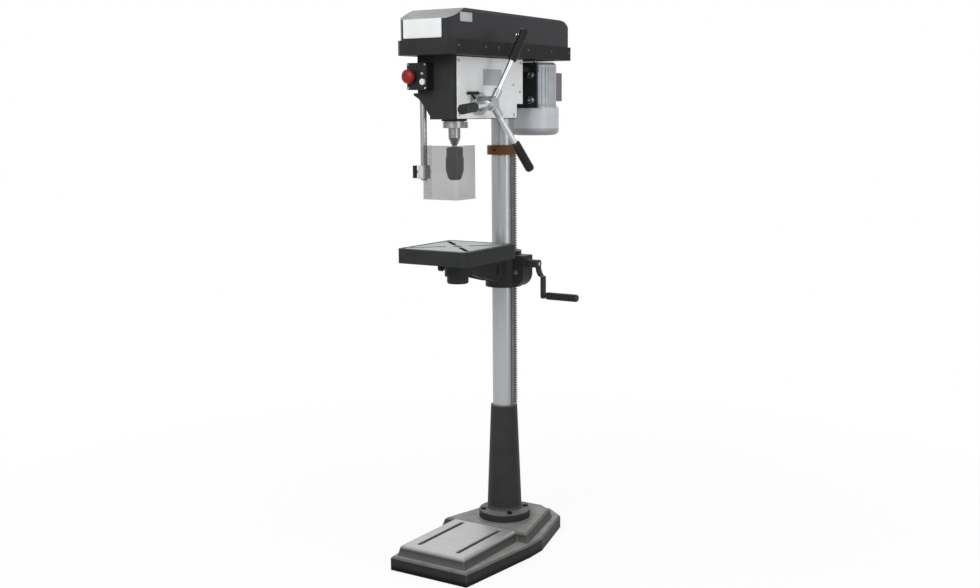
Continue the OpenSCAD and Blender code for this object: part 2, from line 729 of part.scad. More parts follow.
// Head casting and what is bolted to it
spindle_y = -throat;
quill_r = quill_d / 2;
head_half = head_w / 2;
head_front = -throat - head_nose;
nose_r = 14;
quill_lip_r = 38;
quill_lip_h = 6;
quill_bore_top = quill_top + 4;
sleeve_d = 30;
column_seat = column_top + 2;
rack_tip_y = quill_r - 1.6;
feed_r = feed_m * feed_teeth / 2;
feed_tip_r = feed_r + tooth_add * feed_m;
feed_y = spindle_y + rack_tip_y - tooth_add * feed_m + feed_r;
feed_face = 16;
bar_d = 18;
bar_span = 60;
bar_z = 1530;
bar_depth = 40;
post_d = 16;
post_x = 26;
post_y = -150;
post_l = 40;
core_x = 38;
core_y = [-205, -56];
core_floor = 12;
post_boss_r = 16;
column_boss_r = column_r + 9.5;
chamfer_x = -39;
chamfer_z = [1385.5, 1398.5];
module head_casting() {
  length = head_rear - head_front;
  color(dark_paint) difference() {
    union() {
      translate([0, (head_front + head_rear) / 2, head_low]) linear_extrude(head_top - head_low)
        round_square(head_w, length, nose_r);
      block([-head_half, 0], [head_front, head_front + nose_r], [head_low, head_top]);
      rod_z(quill_lip_r, 0, spindle_y, [head_low - quill_lip_h, head_low + cut]);
    }
    rod_z(bore_r, 0, 0, [head_low - cut, column_seat]);
    rod_z(quill_r + run_gap, 0, spindle_y, [head_low - quill_lip_h - cut, quill_bore_top]);
    rod_z(sleeve_d / 2 + run_gap, 0, spindle_y, [quill_bore_top - cut, head_top + cut]);
    rod_x(feed_shaft_d / 2 + run_gap, [-head_half - cut, head_half + cut], feed_y, feed_z);
    rod_x(feed_tip_r + face_gap, [-feed_face / 2 - face_gap, feed_face / 2 + face_gap], feed_y, feed_z);
    for (s = [-1, 1]) rod_y(bar_d / 2 + run_gap, s * bar_span / 2, [-bar_depth, head_rear + cut], bar_z);
    difference() {
      block([-core_x, core_x], core_y, [head_low + core_floor, head_top + cut]);
      rod_z(post_boss_r, post_x, post_y, [head_low, head_top + 2 * cut]);
    }
    rod_z(post_d / 2 + run_gap, post_x, post_y, [head_top - post_l, head_top + cut]);
    difference() {
      block([-head_w, head_w], [panel_notch_y, head_rear + cut], [head_low - cut, panel_rear_low]);
      rod_z(column_boss_r, 0, 0, [head_low - 2 * cut, head_top]);
    }
    translate([0, switch_rear, 0]) rotate([90, 0, 0]) linear_extrude(switch_deep + cut) polygon([
      [-head_w, chamfer_z[1]], [-head_half, chamfer_z[1]], [chamfer_x, chamfer_z[0]],
      [chamfer_x, head_low - cut], [-head_w, head_low - cut]
    ]);
  }
}
panel_edge = 2;
panel_rear = 40;
panel_notch_y = 4;
panel_rear_low = feed_z;
spring_cap_d = 60;
panel_hole_gap = 2;
module panel_shape(front) {
  polygon([
    [front, head_low + panel_edge], [panel_notch_y, head_low + panel_edge],
    [panel_notch_y, panel_rear_low], [panel_rear, panel_rear_low],
    [panel_rear, head_top - panel_edge], [front, head_top - panel_edge]
  ]);
}
switch_deep = 92;
switch_front = head_front;
switch_rear = switch_front + switch_deep;
module side_panels() {
  color(white_paint) {
    difference() {
      side_profile([head_half, head_half + panel_t]) panel_shape(head_front + nose_r);
      rod_x(hub_d / 2 + panel_hole_gap, [head_half - cut, head_half + panel_t + cut], feed_y, feed_z);
    }
    difference() {
      side_profile([-head_half - panel_t, -head_half]) panel_shape(switch_rear + face_gap);
      rod_x(spring_cap_d / 2 + panel_hole_gap, [-head_half - panel_t - cut, -head_half + cut],
        feed_y, feed_z);
    }
  }
}

// Belt housing
tray_top = head_top + tray_h;
tray_floor = 4;
tray_front_chamfer = 22;
tray_rear_chamfer = 12;
rim_w = 16;
rim_t = 4;
sleeve_hole_r = 26;
post_hole_r = 14;
shaft_slot_w = 40;
shaft_slot_l = 76;
module tray_shape(d) {
  w = tray_w / 2 - d;
  f = inset_chamfer(tray_front_chamfer, d);
  b = inset_chamfer(tray_rear_chamfer, d);
  front = -tray_front + d;
  rear = tray_rear - d;
  polygon([
    [f - w, front], [w - f, front], [w, front + f], [w, rear - b],
    [w - b, rear], [b - w, rear], [-w, rear - b], [-w, front + f]
  ]);
}
hinge_r = 5;
hinge_pin_r = 2.5;
hinge_l = 20;
hinge_places = [-200, 100];
hinge_x = -tray_w / 2 + cover_inset - hinge_r - 1;
hinge_z = tray_top + hinge_r + 0.5;
module belt_tray() {
  color([0.20, 0.21, 0.20]) difference() {
    union() {
      difference() {
        translate([0, 0, head_top]) linear_extrude(tray_h) tray_shape(0);
        translate([0, 0, head_top + tray_floor]) linear_extrude(tray_h - tray_floor - rim_t)
          tray_shape(sheet_t);
        translate([0, 0, tray_top - rim_t - cut]) linear_extrude(rim_t + 2 * cut) tray_shape(rim_w);
      }
      for (y = hinge_places, s = [-1, 1]) {
        middle = y + s * (hinge_l + face_gap);
        rod_y(hinge_r, hinge_x, [middle - hinge_l / 2, middle + hinge_l / 2], hinge_z);
        block([hinge_x, hinge_x + hinge_r - face_gap], [middle - hinge_l / 2, middle + hinge_l / 2],
          [tray_top - rim_t, hinge_z]);
      }
    }
    for (y = hinge_places)
      rod_y(hinge_pin_r + run_gap, hinge_x, [y - 2 * hinge_l, y + 2 * hinge_l], hinge_z);
    rod_z(sleeve_hole_r, 0, spindle_y, [head_top - cut, head_top + tray_floor + cut]);
    rod_z(post_hole_r, post_x, post_y, [head_top - cut, head_top + tray_floor + cut]);
    translate([0, motor_reach - tension_travel / 2, head_top - cut]) linear_extrude(tray_floor + 2 * cut)
      slot_shape(shaft_slot_w, shaft_slot_l);
  }
}
tension_travel = 15;
cover_slope_run = 72;
cover_slope_drop = 32;
cover_tail_run = 60;
cover_tail_drop = 40;
cover_top_drop = 5;
cover_edge = 5;
// The cover's side outline and its section, each inset by d for the inside
module cover_side(d) {
  front = -tray_front + cover_inset + d;
  rear = tray_rear - cover_inset - d;
  low = d > 0 ? tray_top - cut : tray_top;
  high = tray_top + cover_h - d;
  polygon(concat(
    [[front, low], [front, high - cover_slope_drop], [front + cover_slope_run, high]],
    [for (i = [0:fillet_steps]) let (a = 90 * i / fillet_steps)
      [rear - cover_tail_run * (1 - sin(a)), high - cover_top_drop - cover_tail_drop * (1 - cos(a))]],
    [[rear, low]]
  ));
}
module cover_section(d) {
  w = tray_w / 2 - cover_inset - d;
  high = tray_top + cover_h - d;
  polygon([
    [-w, tray_top - cut], [w, tray_top - cut],
    [w, high - cover_edge - cover_top_drop], [w - cover_edge, high],
    [cover_edge - w, high], [-w, high - cover_edge - cover_top_drop]
  ]);
}
module cover_solid(d) {
  reach = tray_front + tray_rear;
  intersection() {
    side_profile([-tray_w, tray_w]) cover_side(d);
    translate([0, reach, 0]) rotate([90, 0, 0]) linear_extrude(2 * reach) cover_section(d);
    translate([0, 0, tray_top - cut]) linear_extrude(2 * cover_h) tray_shape(cover_inset + d);
  }
}
module belt_cover() {
  wall_x = -tray_w / 2 + cover_inset;
  color(cover_paint) difference() {
    union() {
      difference() {
        cover_solid(0);
        cover_solid(sheet_t);
      }
      for (y = hinge_places) {
        rod_y(hinge_r, hinge_x, [y - hinge_l / 2, y + hinge_l / 2], hinge_z);
        block([hinge_x, wall_x + cut], [y - hinge_l / 2, y + hinge_l / 2],
          [hinge_z - hinge_pin_r, hinge_z + hinge_r]);
      }
    }
    for (y = hinge_places) rod_y(hinge_pin_r + run_gap, hinge_x, [y - hinge_l, y + hinge_l], hinge_z);
  }
}
module lid_hinge_pins() {
  color(bright_steel) for (y = hinge_places)
    rod_y(hinge_pin_r, hinge_x, [y - 3 * hinge_l / 2 - face_gap, y + 3 * hinge_l / 2 + face_gap], hinge_z);
}

// Switch
switch_low = head_top - switch_h;
switch_r = 5;
plate_w = 70;
plate_shift = 11;
plate_h = 78;
plate_deep = 36;
switch_plate_x = -head_half - plate_shift;
switch_z = 1501;
stop_stem_d = 22;
stop_stem_l = 26;
stop_travel = 5;
stop_cap_t = 20;
stop_shift = 21;
start_shift = 22;
start_drop = 16;
stop_x = switch_plate_x - stop_shift;
start_x = switch_plate_x + start_shift;
start_z = switch_z - start_drop;
start_d = 18;
start_h = 5;
start_travel = 3;
start_bore = 16;
switch_wall = 4;
module switch_housing() {
  left = -head_half - switch_w;
  color(dark_paint) difference() {
    translate([left + switch_w / 2, (switch_front + switch_rear) / 2, switch_low]) linear_extrude(switch_h) {
      round_square(switch_w, switch_deep, switch_r);
      translate([0, -switch_deep / 2]) square([switch_w / 2, switch_deep]);
    }
    block([left + switch_wall, -head_half + cut], [switch_front + switch_wall, switch_rear - switch_wall],
      [switch_low + switch_wall, head_top - switch_wall]);
  }
}
module switch_plate() {
  color(black_plastic) difference() {
    translate([switch_plate_x, switch_front, switch_z]) rotate([90, 0, 0])
      linear_extrude(plate_deep) round_square(plate_w, plate_h, switch_r);
    rod_y(stop_stem_d / 2 + run_gap, stop_x,
      [switch_front - plate_deep - cut, switch_front - face_gap], switch_z);
    rod_y(start_d / 2 + run_gap, start_x,
      [switch_front - plate_deep - cut, switch_front - plate_deep + start_bore], start_z);
  }
}
module stop_button() {
  face = switch_front - plate_deep;
  cap = face - stop_stem_l + stop_cap_t;
  inner = face + start_bore;
  stem_r = stop_stem_d / 2;
  color([0.75, 0.06, 0.05]) translate([stop_x, 0, switch_z]) rotate([90, 0, 0])
    rotate_extrude() polygon(concat(
      [[0, -inner], [stem_r, -inner], [stem_r, -cap], [stop_d / 2 - 1, -cap], [stop_d / 2, 2 - cap]],
      [for (i = [0:fillet_steps]) let (a = 90 * i / fillet_steps)
        [stop_d / 2 * cos(a), stop_cap_t / 2 - cap + stop_cap_t / 2 * sin(a)]]
    ));
}
module start_button() {
  face = switch_front - plate_deep;
  color([0.9, 0.9, 0.88])
    rod_y(start_d / 2, start_x, [face - start_h, face + start_bore - start_travel - cut], start_z);
}

// Quill, spindle and chuck
bearing_r = 21;
bearing_h = 15;
quill_bore_r = 15;
shaft_r = spindle_d / 2;
rack_slot_w = 18;
rack_root_y = rack_tip_y - (tooth_add + tooth_ded) * feed_m;
rack_margin = 12;
module quill() {
  color(bright_steel) translate([0, spindle_y, 0]) {
    difference() {
      rod_z(quill_r, 0, 0, [quill_low, quill_top]);
      rod_z(quill_bore_r, 0, 0, [quill_low - cut, quill_top + cut]);
      rod_z(bearing_r + run_gap, 0, 0, [quill_low - cut, quill_low + bearing_h]);
      rod_z(bearing_r + run_gap, 0, 0, [quill_top - bearing_h, quill_top + cut]);
      block([-rack_slot_w / 2, rack_slot_w / 2], [rack_root_y, quill_r + cut],
        [quill_low + rack_margin + collar_high, quill_top + cut]);
    }
    translate([-rack_slot_w / 2, 0, 0]) rotate([90, 0, 90]) linear_extrude(rack_slot_w)
      rack_shape(feed_m, quill_bore_r + cut + bearing_r - quill_bore_r, rack_tip_y,
        quill_low + rack_margin + collar_high, quill_top - bearing_h, feed_z);
  }
}
collar_high = 19;
quill_collar_d = 68;
collar_lug_w = 20;
collar_lug_x = 42;
collar_slit = 3;
collar_gap_z = 0.6;
module quill_collar() {
  z = [quill_low, quill_low + collar_high - collar_gap_z];
  color([0.55, 0.56, 0.58]) translate([0, spindle_y, 0]) difference() {
    union() {
      rod_z(quill_collar_d / 2, 0, 0, z);
      block([0, collar_lug_x], [-collar_lug_w / 2, collar_lug_w / 2], z);
    }
    rod_z(quill_r + run_gap, 0, 0, [quill_low - cut, quill_low + collar_high + cut]);
    block([0, collar_lug_x + cut], [-collar_slit / 2, collar_slit / 2],
      [quill_low - cut, quill_low + collar_high + cut]);
  }
}
module quill_bearings() {
  color([0.62, 0.63, 0.65]) for (z = [quill_low, quill_top - bearing_h]) difference() {
    rod_z(bearing_r, 0, spindle_y, [z, z + bearing_h]);
    rod_z(shaft_r + run_gap, 0, spindle_y, [z - cut, z + bearing_h + cut]);
  }
}
spline_r = 9.5;
spline_core_r = 8.2;
spline_w = 4;
splines = 6;
spindle_top = 1625;
nose_low = 1301;
nose_taper = 20;
nose_tip_r = 10;
arbor_r = 7.5;
arbor_depth = 15;
module spline_shape(gap) {
  circle(spline_core_r + gap);
  for (i = [0:splines - 1]) rotate(360 * i / splines)
    translate([0, -spline_w / 2 - gap]) square([spline_r + gap, spline_w + 2 * gap]);
}
module spindle() {
  color(bright_steel) translate([0, spindle_y, 0]) {
    rotate_extrude() polygon([
      [0, nose_low], [nose_tip_r, nose_low], [nose_d / 2, nose_low + nose_taper],
      [nose_d / 2, quill_low - face_gap], [0, quill_low - face_gap]
    ]);
    rod_z(shaft_r, 0, 0, [quill_low - face_gap, quill_top + face_gap]);
    translate([0, 0, quill_top]) linear_extrude(spindle_top - quill_top) spline_shape(0);
    rod_z(arbor_r, 0, 0, [chuck_top - arbor_depth, nose_low]);
  }
}
chuck_low = chuck_top - chuck_l;
chuck_flange_h = 30;
chuck_flange_d = 50;
chuck_core_r = 19;
chuck_mouth_r = 6.8;
chuck_mouth_l = 52;
chuck_chamfer = 4;
jaw_r = 3;
jaw_l = 34;
jaw_axis_r = 8;
jaw_lean = 10.2;
jaw_stop = 1.2;
jaw_low = chuck_low + 4;
module jaw_axis(k) {
  translate([0, spindle_y, jaw_low]) rotate(120 * k + 30) translate([jaw_axis_r, 0, 0])
    rotate([0, jaw_lean, 0]) children();
}
sleeve_low = chuck_low + 6;
sleeve_high = chuck_top - chuck_flange_h - face_gap;
module chuck_body() {
  r = chuck_flange_d / 2;
  flange_low = chuck_top - chuck_flange_h;
  color([0.24, 0.24, 0.25]) difference() {
    translate([0, spindle_y, 0]) rotate_extrude() polygon([
      [0, chuck_low], [chuck_core_r - chuck_chamfer, chuck_low], [chuck_core_r, chuck_low + chuck_chamfer],
      [chuck_core_r, flange_low], [r, flange_low], [r, chuck_top - chuck_chamfer],
      [r - chuck_chamfer, chuck_top], [0, chuck_top]
    ]);
    rod_z(arbor_r + run_gap, 0, spindle_y, [chuck_top - arbor_depth - cut, chuck_top + cut]);
    rod_z(chuck_mouth_r, 0, spindle_y, [chuck_low - cut, chuck_low + chuck_mouth_l]);
    for (k = [0:2]) jaw_axis(k) rod_z(jaw_r + run_gap, 0, 0, [-2 * jaw_r, jaw_l + face_gap]);
  }
}
sleeve_nose_d = 42;
sleeve_flutes = 18;
flute_r = 2;
module chuck_sleeve() {
  color([0.10, 0.10, 0.11]) translate([0, spindle_y, 0]) difference() {
    rotate_extrude() polygon([
      [chuck_core_r + run_gap, sleeve_low], [sleeve_nose_d / 2, sleeve_low],
      [chuck_d / 2, sleeve_low + chuck_l / 4], [chuck_d / 2, sleeve_high],
      [chuck_core_r + run_gap, sleeve_high]
    ]);
    for (i = [0:sleeve_flutes - 1]) rotate(360 * i / sleeve_flutes)
      rod_z(flute_r, chuck_d / 2 + flute_r / 2, 0, [sleeve_low - cut, sleeve_high - chuck_chamfer]);
  }
}
module chuck_jaw(k) {
  color(bright_steel) jaw_axis(k) difference() {
    rod_z(jaw_r, 0, 0, [0, jaw_l]);
    translate([-jaw_stop - 2 * jaw_r, -2 * jaw_r, -cut]) cube([2 * jaw_r, 4 * jaw_r, jaw_l + 2 * cut]);
  }
}
module chuck_jaw_1() { chuck_jaw(0); }
module chuck_jaw_2() { chuck_jaw(1); }
module chuck_jaw_3() { chuck_jaw(2); }

// Belt drive
steps = 4;
pulley_low = head_top + 14;
groove_deep = 7;
groove_open = 13;
groove_floor = 8;
belt_seat = 0.3;
belt_proud = 1;
sleeve_wall_d = 30;
shoulder_d = 44;
idler_y = -idler_reach;
front_step = 1;
rear_step = 2;
idler_bore_r = 10;
idler_pin_r = 8;
// Step radii from the bottom up: the spindle and motor pulleys shrink, the idler grows
function falling(i) = pulley_big - pulley_step * i;
function rising(i) = pulley_big - pulley_step * (steps - 1 - i);
function step_middle(i) = pulley_low + step_h * (i + 0.5);
module cone_pulley(radii, bore) {
  rotate_extrude() polygon(concat(
    [[bore, pulley_low]],
    [for (i = [0:steps - 1], e = [
        [0, -step_h / 2], [0, -groove_open / 2], [-groove_deep, -groove_floor / 2],
        [-groove_deep, groove_floor / 2], [0, groove_open / 2], [0, step_h / 2]
      ]) [radii[i] + e[0], step_middle(i) + e[1]]],
    [[bore, pulley_low + steps * step_h]]
  ));
}
module drive_sleeve() {
  color(bright_steel) translate([0, spindle_y, 0]) difference() {
    union() {
      rod_z(sleeve_d / 2, 0, 0, [quill_bore_top + face_gap, pulley_low + steps * step_h]);
      rod_z(shoulder_d / 2, 0, 0, [head_top + face_gap, pulley_low]);
    }
    translate([0, 0, quill_top]) linear_extrude(pulley_low + steps * step_h + cut - quill_top)
      spline_shape(run_gap);
  }
}
module spindle_pulley() {
  color([0.70, 0.71, 0.72]) translate([0, spindle_y, 0])
    cone_pulley([for (i = [0:steps - 1]) falling(i)], sleeve_d / 2 + run_gap);
}
arm_z = [head_top + tray_floor + 2, head_top + 13];
arm_link_w = 26;
module idler_arm() {
  reach = norm([post_x, idler_y - post_y]);
  angle = atan2(idler_y - post_y, -post_x);
  color([0.35, 0.35, 0.36]) {
    rod_z(post_d / 2, post_x, post_y, [head_top - post_l + face_gap, arm_z[1]]);
    translate([post_x, post_y, arm_z[0]]) rotate(angle) {
      translate([0, -arm_link_w / 2, 0]) cube([reach, arm_link_w, arm_z[1] - arm_z[0]]);
      for (x = [0, reach]) translate([x, 0, 0]) cylinder(h = arm_z[1] - arm_z[0], d = arm_link_w);
    }
    rod_z(idler_pin_r, 0, idler_y, [arm_z[0], pulley_low + steps * step_h]);
  }
}
module idler_pulley() {
  color([0.70, 0.71, 0.72]) translate([0, idler_y, 0])
    cone_pulley([for (i = [0:steps - 1]) rising(i)], idler_pin_r + run_gap);
}
belt_arc = 24;
function belt_points(y1, r1, y2, r2) = let (t = acos((r1 - r2) / (y2 - y1))) concat(
  [for (i = [0:belt_arc]) let (a = t + (360 - 2 * t) * i / belt_arc) [r1 * sin(a), y1 + r1 * cos(a)]],
  [for (i = [0:belt_arc]) let (a = -t + 2 * t * i / belt_arc) [r2 * sin(a), y2 + r2 * cos(a)]]
);
module belt_loop(y1, r1, y2, r2, z) {
  seat = belt_seat - groove_deep;
  slack = 1 / cos(180 / belt_arc);
  color(black_plastic) translate([0, 0, z - belt_w / 2]) linear_extrude(belt_w) difference() {
    polygon(belt_points(y1, (r1 + belt_proud) * slack, y2, (r2 + belt_proud) * slack));
    polygon(belt_points(y1, (r1 + seat) * slack, y2, (r2 + seat) * slack));
  }
}
module front_belt() {
  belt_loop(spindle_y, falling(front_step), idler_y, rising(front_step), step_middle(front_step));
}
module rear_belt() {
  belt_loop(idler_y, rising(rear_step), motor_reach, falling(rear_step), step_middle(rear_step));
}

// Motor on its sliding plate
motor_r = motor_d / 2;
fins = 36;
fin_deep = 3;
fin_rim = 1;
fin_share = 0.45;
shield_t_end = 16;
plate_thick = 8;
plate_gap = 23;
plate_y = motor_reach - motor_r - plate_gap;
plate_half = 62;
motor_plate_low = 1408;
motor_plate_high = 1552;
foot_w = 90;
foot_low = 1424;
foot_high = 1522;
bolt_span_x = 82;
bolt_span_z = 80;
bolt_mid_z = 1473;
motor_bolt_d = 10;
shaft_seat = 30;
stator_r = 50;
cap_t = 12;
end_ring = 4;
end_ring_h = 6;
box_w = 90;
box_deep = 34;
box_low = 1430;
box_h = 92;
cowl_t = 2.5;
cowl_round = 18;
cowl_low_r = cowl_d / 2 - cowl_round;
cowl_top = motor_low + cowl_h;
module motor_shape() {
  pitch = 360 / fins;
  rise = 0.04;
  polygon([
    for (i = [0:fins - 1], e = [[0, 0], [rise, fin_deep], [fin_share, fin_deep], [fin_share + rise, 0]])
    let (a = pitch * (i + e[0])) (motor_r - fin_rim - fin_deep + e[1]) * [cos(a), sin(a)]]);
}
module motor_body() {
  foot_y = plate_y + plate_thick;
  color(motor_paint) difference() {
    union() {
      translate([0, motor_reach, cowl_top - cut])
        linear_extrude(motor_top - shield_t_end - cowl_top + cut) motor_shape();
      translate([0, motor_reach, 0]) rotate_extrude() polygon([
        [0, motor_top - shield_t_end], [motor_r, motor_top - shield_t_end],
        [motor_r, motor_top - shield_t_end / 2], [motor_r - shield_t_end / 2, motor_top], [0, motor_top]
      ]);
      block([-foot_w / 2, foot_w / 2], [foot_y, motor_reach - motor_r / 2], [foot_low, foot_high]);
      rod_z(cowl_low_r, 0, motor_reach, [cowl_top - cowl_h / 2, cowl_top]);
      rod_z(motor_r + end_ring, 0, motor_reach, [cowl_top, cowl_top + end_ring_h]);
    }
    rod_z(motor_shaft_d / 2 + run_gap, 0, motor_reach, [motor_top - shaft_seat, motor_top + cut]);
    rod_z(stator_r, 0, motor_reach, [motor_low, motor_top - shaft_seat - cap_t]);
    for (i = [-1, 1], j = [-1, 1]) rod_y(motor_bolt_d / 2 + run_gap, i * bolt_span_x / 2,
      [foot_y - cut, foot_y + motor_bolt_d * 2], bolt_mid_z + j * bolt_span_z / 2);
  }
}
vents = 8;
vent_rings = [22, 36, 50];
vent_w = 6;
module motor_cowl() {
  r = cowl_d / 2;
  color(motor_paint) translate([0, motor_reach, 0]) difference() {
    rotate_extrude() polygon(concat(
      [[0, motor_low]],
      [for (i = [0:fillet_steps]) let (a = 90 * i / fillet_steps)
        [r - cowl_round + cowl_round * sin(a), motor_low + cowl_round - cowl_round * cos(a)]],
      [[r, cowl_top], [motor_r + face_gap, cowl_top], [r - cowl_t, cowl_top - cowl_t]],
      [for (i = [fillet_steps:-1:0]) let (a = 90 * i / fillet_steps)
        [r - cowl_round + (cowl_round - cowl_t) * sin(a),
          motor_low + cowl_round - (cowl_round - cowl_t) * cos(a)]],
      [[0, motor_low + cowl_t]]
    ));
    for (q = vent_rings, k = [0:vents - 1]) rotate(360 * k / vents)
      translate([q, 0, motor_low - cut]) cylinder(d = vent_w, h = cowl_t + 2 * cut);
  }
}
module motor_shaft() {
  color(bright_steel) rod_z(motor_shaft_d / 2, 0, motor_reach,
    [motor_top - shaft_seat + face_gap, pulley_low + steps * step_h]);
}
module motor_pulley() {
  color([0.70, 0.71, 0.72]) translate([0, motor_reach, 0])
    cone_pulley([for (i = [0:steps - 1]) falling(i)], motor_shaft_d / 2 + run_gap);
}
module terminal_box() {
  r = 6;
  inside = motor_reach + motor_r - box_deep;
  color(motor_paint) difference() {
    translate([0, motor_reach + motor_r + box_deep / 2 - box_deep, box_low]) linear_extrude(box_h)
      round_square(box_w, 3 * box_deep, r);
    rod_z(motor_r + run_gap, 0, motor_reach, [box_low - cut, box_low + box_h + cut]);
    block([-box_w, box_w], [inside - 2 * box_deep, inside], [box_low - cut, box_low + box_h + cut]);
  }
}
module motor_plate() {
  color(dark_paint) {
    difference() {
      block([-plate_half, plate_half], [plate_y, plate_y + plate_thick], [motor_plate_low, motor_plate_high]);
      for (i = [-1, 1], j = [-1, 1]) rod_y(motor_bolt_d / 2 + run_gap, i * bolt_span_x / 2,
        [plate_y - cut, plate_y + plate_thick + cut], bolt_mid_z + j * bolt_span_z / 2);
    }
    for (s = [-1, 1])
      rod_y(bar_d / 2, s * bar_span / 2, [tension_travel + 5 - bar_depth, plate_y + cut], bar_z);
  }
}

// Feed
hub_x = [head_half + panel_t + face_gap, 122];
apex_x = 108;
dial_x = [54, 72];
cap_x = [-72, -head_half];
cap_wall = 4;
lever_angles = [64, 184, 304];
grip_ribs = 11;
rod_end = 18;
socket_d = 25;
socket_l = 46;
socket_floor = 18;
module feed_shaft() {
  color(bright_steel) translate([0, feed_y, feed_z]) rotate([0, 90, 0]) {
    translate([0, 0, cap_x[0] + cap_wall + face_gap])
      cylinder(h = hub_x[1] - cap_x[0] - cap_wall - rod_end, d = feed_shaft_d);
    translate([0, 0, -feed_face / 2]) linear_extrude(feed_face) rotate(-90) gear_shape(feed_m, feed_teeth);
  }
}
// The line of one lever: it starts on the hub's axis and leans outwards
module lever_axis(a) {
  translate([apex_x, feed_y, feed_z]) rotate([a - 90, 0, 0]) rotate([0, lever_lean, 0]) children();
}
module feed_hub() {
  r = hub_d / 2;
  edge = 5;
  color([0.62, 0.63, 0.62]) difference() {
    union() {
      for (a = lever_angles) lever_axis(a) rod_z(socket_d / 2, 0, 0, [feed_shaft_d / 2 + edge, socket_l]);
      translate([0, feed_y, feed_z]) rotate([0, 90, 0]) rotate_extrude() polygon([
        [feed_shaft_d / 2 + run_gap, hub_x[0]], [r, hub_x[0]], [r, hub_x[1] - edge], [r - edge, hub_x[1]],
        [0, hub_x[1]], [0, hub_x[1] - rod_end + edge],
        [feed_shaft_d / 2 + run_gap, hub_x[1] - rod_end + edge]
      ]);
    }
    for (a = lever_angles) lever_axis(a) rod_z(lever_d / 2 + run_gap, 0, 0, [socket_floor, socket_l + cut]);
  }
}
module feed_levers() {
  color(bright_steel) for (a = lever_angles)
    lever_axis(a) rod_z(lever_d / 2, 0, 0, [socket_floor + face_gap, lever_l - grip_end]);
}
module lever_grips() {
  r = grip_d / 2;
  pitch = (grip_l - 2 * grip_end) / grip_ribs;
  bore = lever_d / 2 + run_gap;
  color(black_plastic) for (a = lever_angles)
    lever_axis(a) translate([0, 0, lever_l - grip_l]) rotate_extrude() polygon(concat(
      [[bore, 0], [r - rib_deep - 2, 0], [r, grip_end]],
      [for (i = [0:grip_ribs - 1], e = [[0.5, 0], [0.65, 1], [0.85, 1], [1, 0]])
        [r - e[1] * rib_deep, grip_end + (i + e[0]) * pitch]],
      [[r - 3, grip_l], [0, grip_l], [0, grip_l - grip_end], [bore, grip_l - grip_end]]
    ));
}
dial_screw_a = 147;
dial_screw_d = 7;
dial_stem_l = 24;
dial_bar_d = 10;
dial_bar_l = 38;
dial_bar_short = 10;
dial_edge = 2;
module dial_screw_axis() {
  translate([(dial_x[0] + dial_x[1]) / 2, feed_y, feed_z]) rotate([dial_screw_a - 90, 0, 0]) children();
}
module depth_dial() {
  r = dial_d / 2;
  color([0.78, 0.79, 0.78]) difference() {
    translate([0, feed_y, feed_z]) rotate([0, 90, 0]) rotate_extrude() polygon([
      [hub_d / 2 + run_gap, dial_x[0]], [r - dial_edge, dial_x[0]], [r, dial_x[0] + dial_edge],
      [r, dial_x[1] - dial_edge], [r - dial_edge, dial_x[1]], [hub_d / 2 + run_gap, dial_x[1]]
    ]);
    dial_screw_axis() rod_z(dial_screw_d / 2 + run_gap, 0, 0, [hub_d / 2 - cut, r + cut]);
  }
}
module depth_clamp() {
  r = dial_d / 2;
  color(black_plastic) dial_screw_axis() {
    rod_z(dial_screw_d / 2, 0, 0, [hub_d / 2 + face_gap, r + dial_stem_l]);
    rod_x(dial_bar_d / 2, [-dial_bar_short, dial_bar_l - dial_bar_short], 0, r + dial_stem_l);
  }
}
spring_turns = 5;
spring_t = 0.8;
spring_w = 12;
module spring_cap() {
  r = spring_cap_d / 2;
  edge = 3;
  color(dark_paint) translate([0, feed_y, feed_z]) rotate([0, 90, 0]) rotate_extrude() polygon([
    [0, cap_x[0]], [r - edge, cap_x[0]], [r, cap_x[0] + edge], [r, cap_x[1]],
    [r - cap_wall, cap_x[1]], [r - cap_wall, cap_x[0] + cap_wall], [0, cap_x[0] + cap_wall]
  ]);
}
spring_steps = 24;
module return_spring() {
  inner = feed_shaft_d / 2 + face_gap;
  outer = spring_cap_d / 2 - cap_wall - spring_t - face_gap;
  last = spring_turns * spring_steps;
  function spiral(i, out) =
    let (a = 360 * i / spring_steps, q = inner + (outer - inner) * i / last + out) q * [cos(a), sin(a)];
  color(bright_steel) translate([cap_x[0] + cap_wall + 2, feed_y, feed_z]) rotate([0, 90, 0])
    linear_extrude(spring_w) polygon(concat(
      [for (i = [0:last]) spiral(i, 0)], [for (i = [last:-1:0]) spiral(i, spring_t)]));
}

// Chuck guard
rod_offset = 13;
rod_setback = 20;
rod_x_pos = -shield_w / 2 - rod_offset;
rod_y_pos = head_front + rod_setback;
rod_r = rod_d / 2;
rod_low = 1195;
rod_head_d = 28;
rod_head_h = 6;
rod_pocket = rod_head_h + 1;
bracket_rear = 18;
bracket_ear = 13;
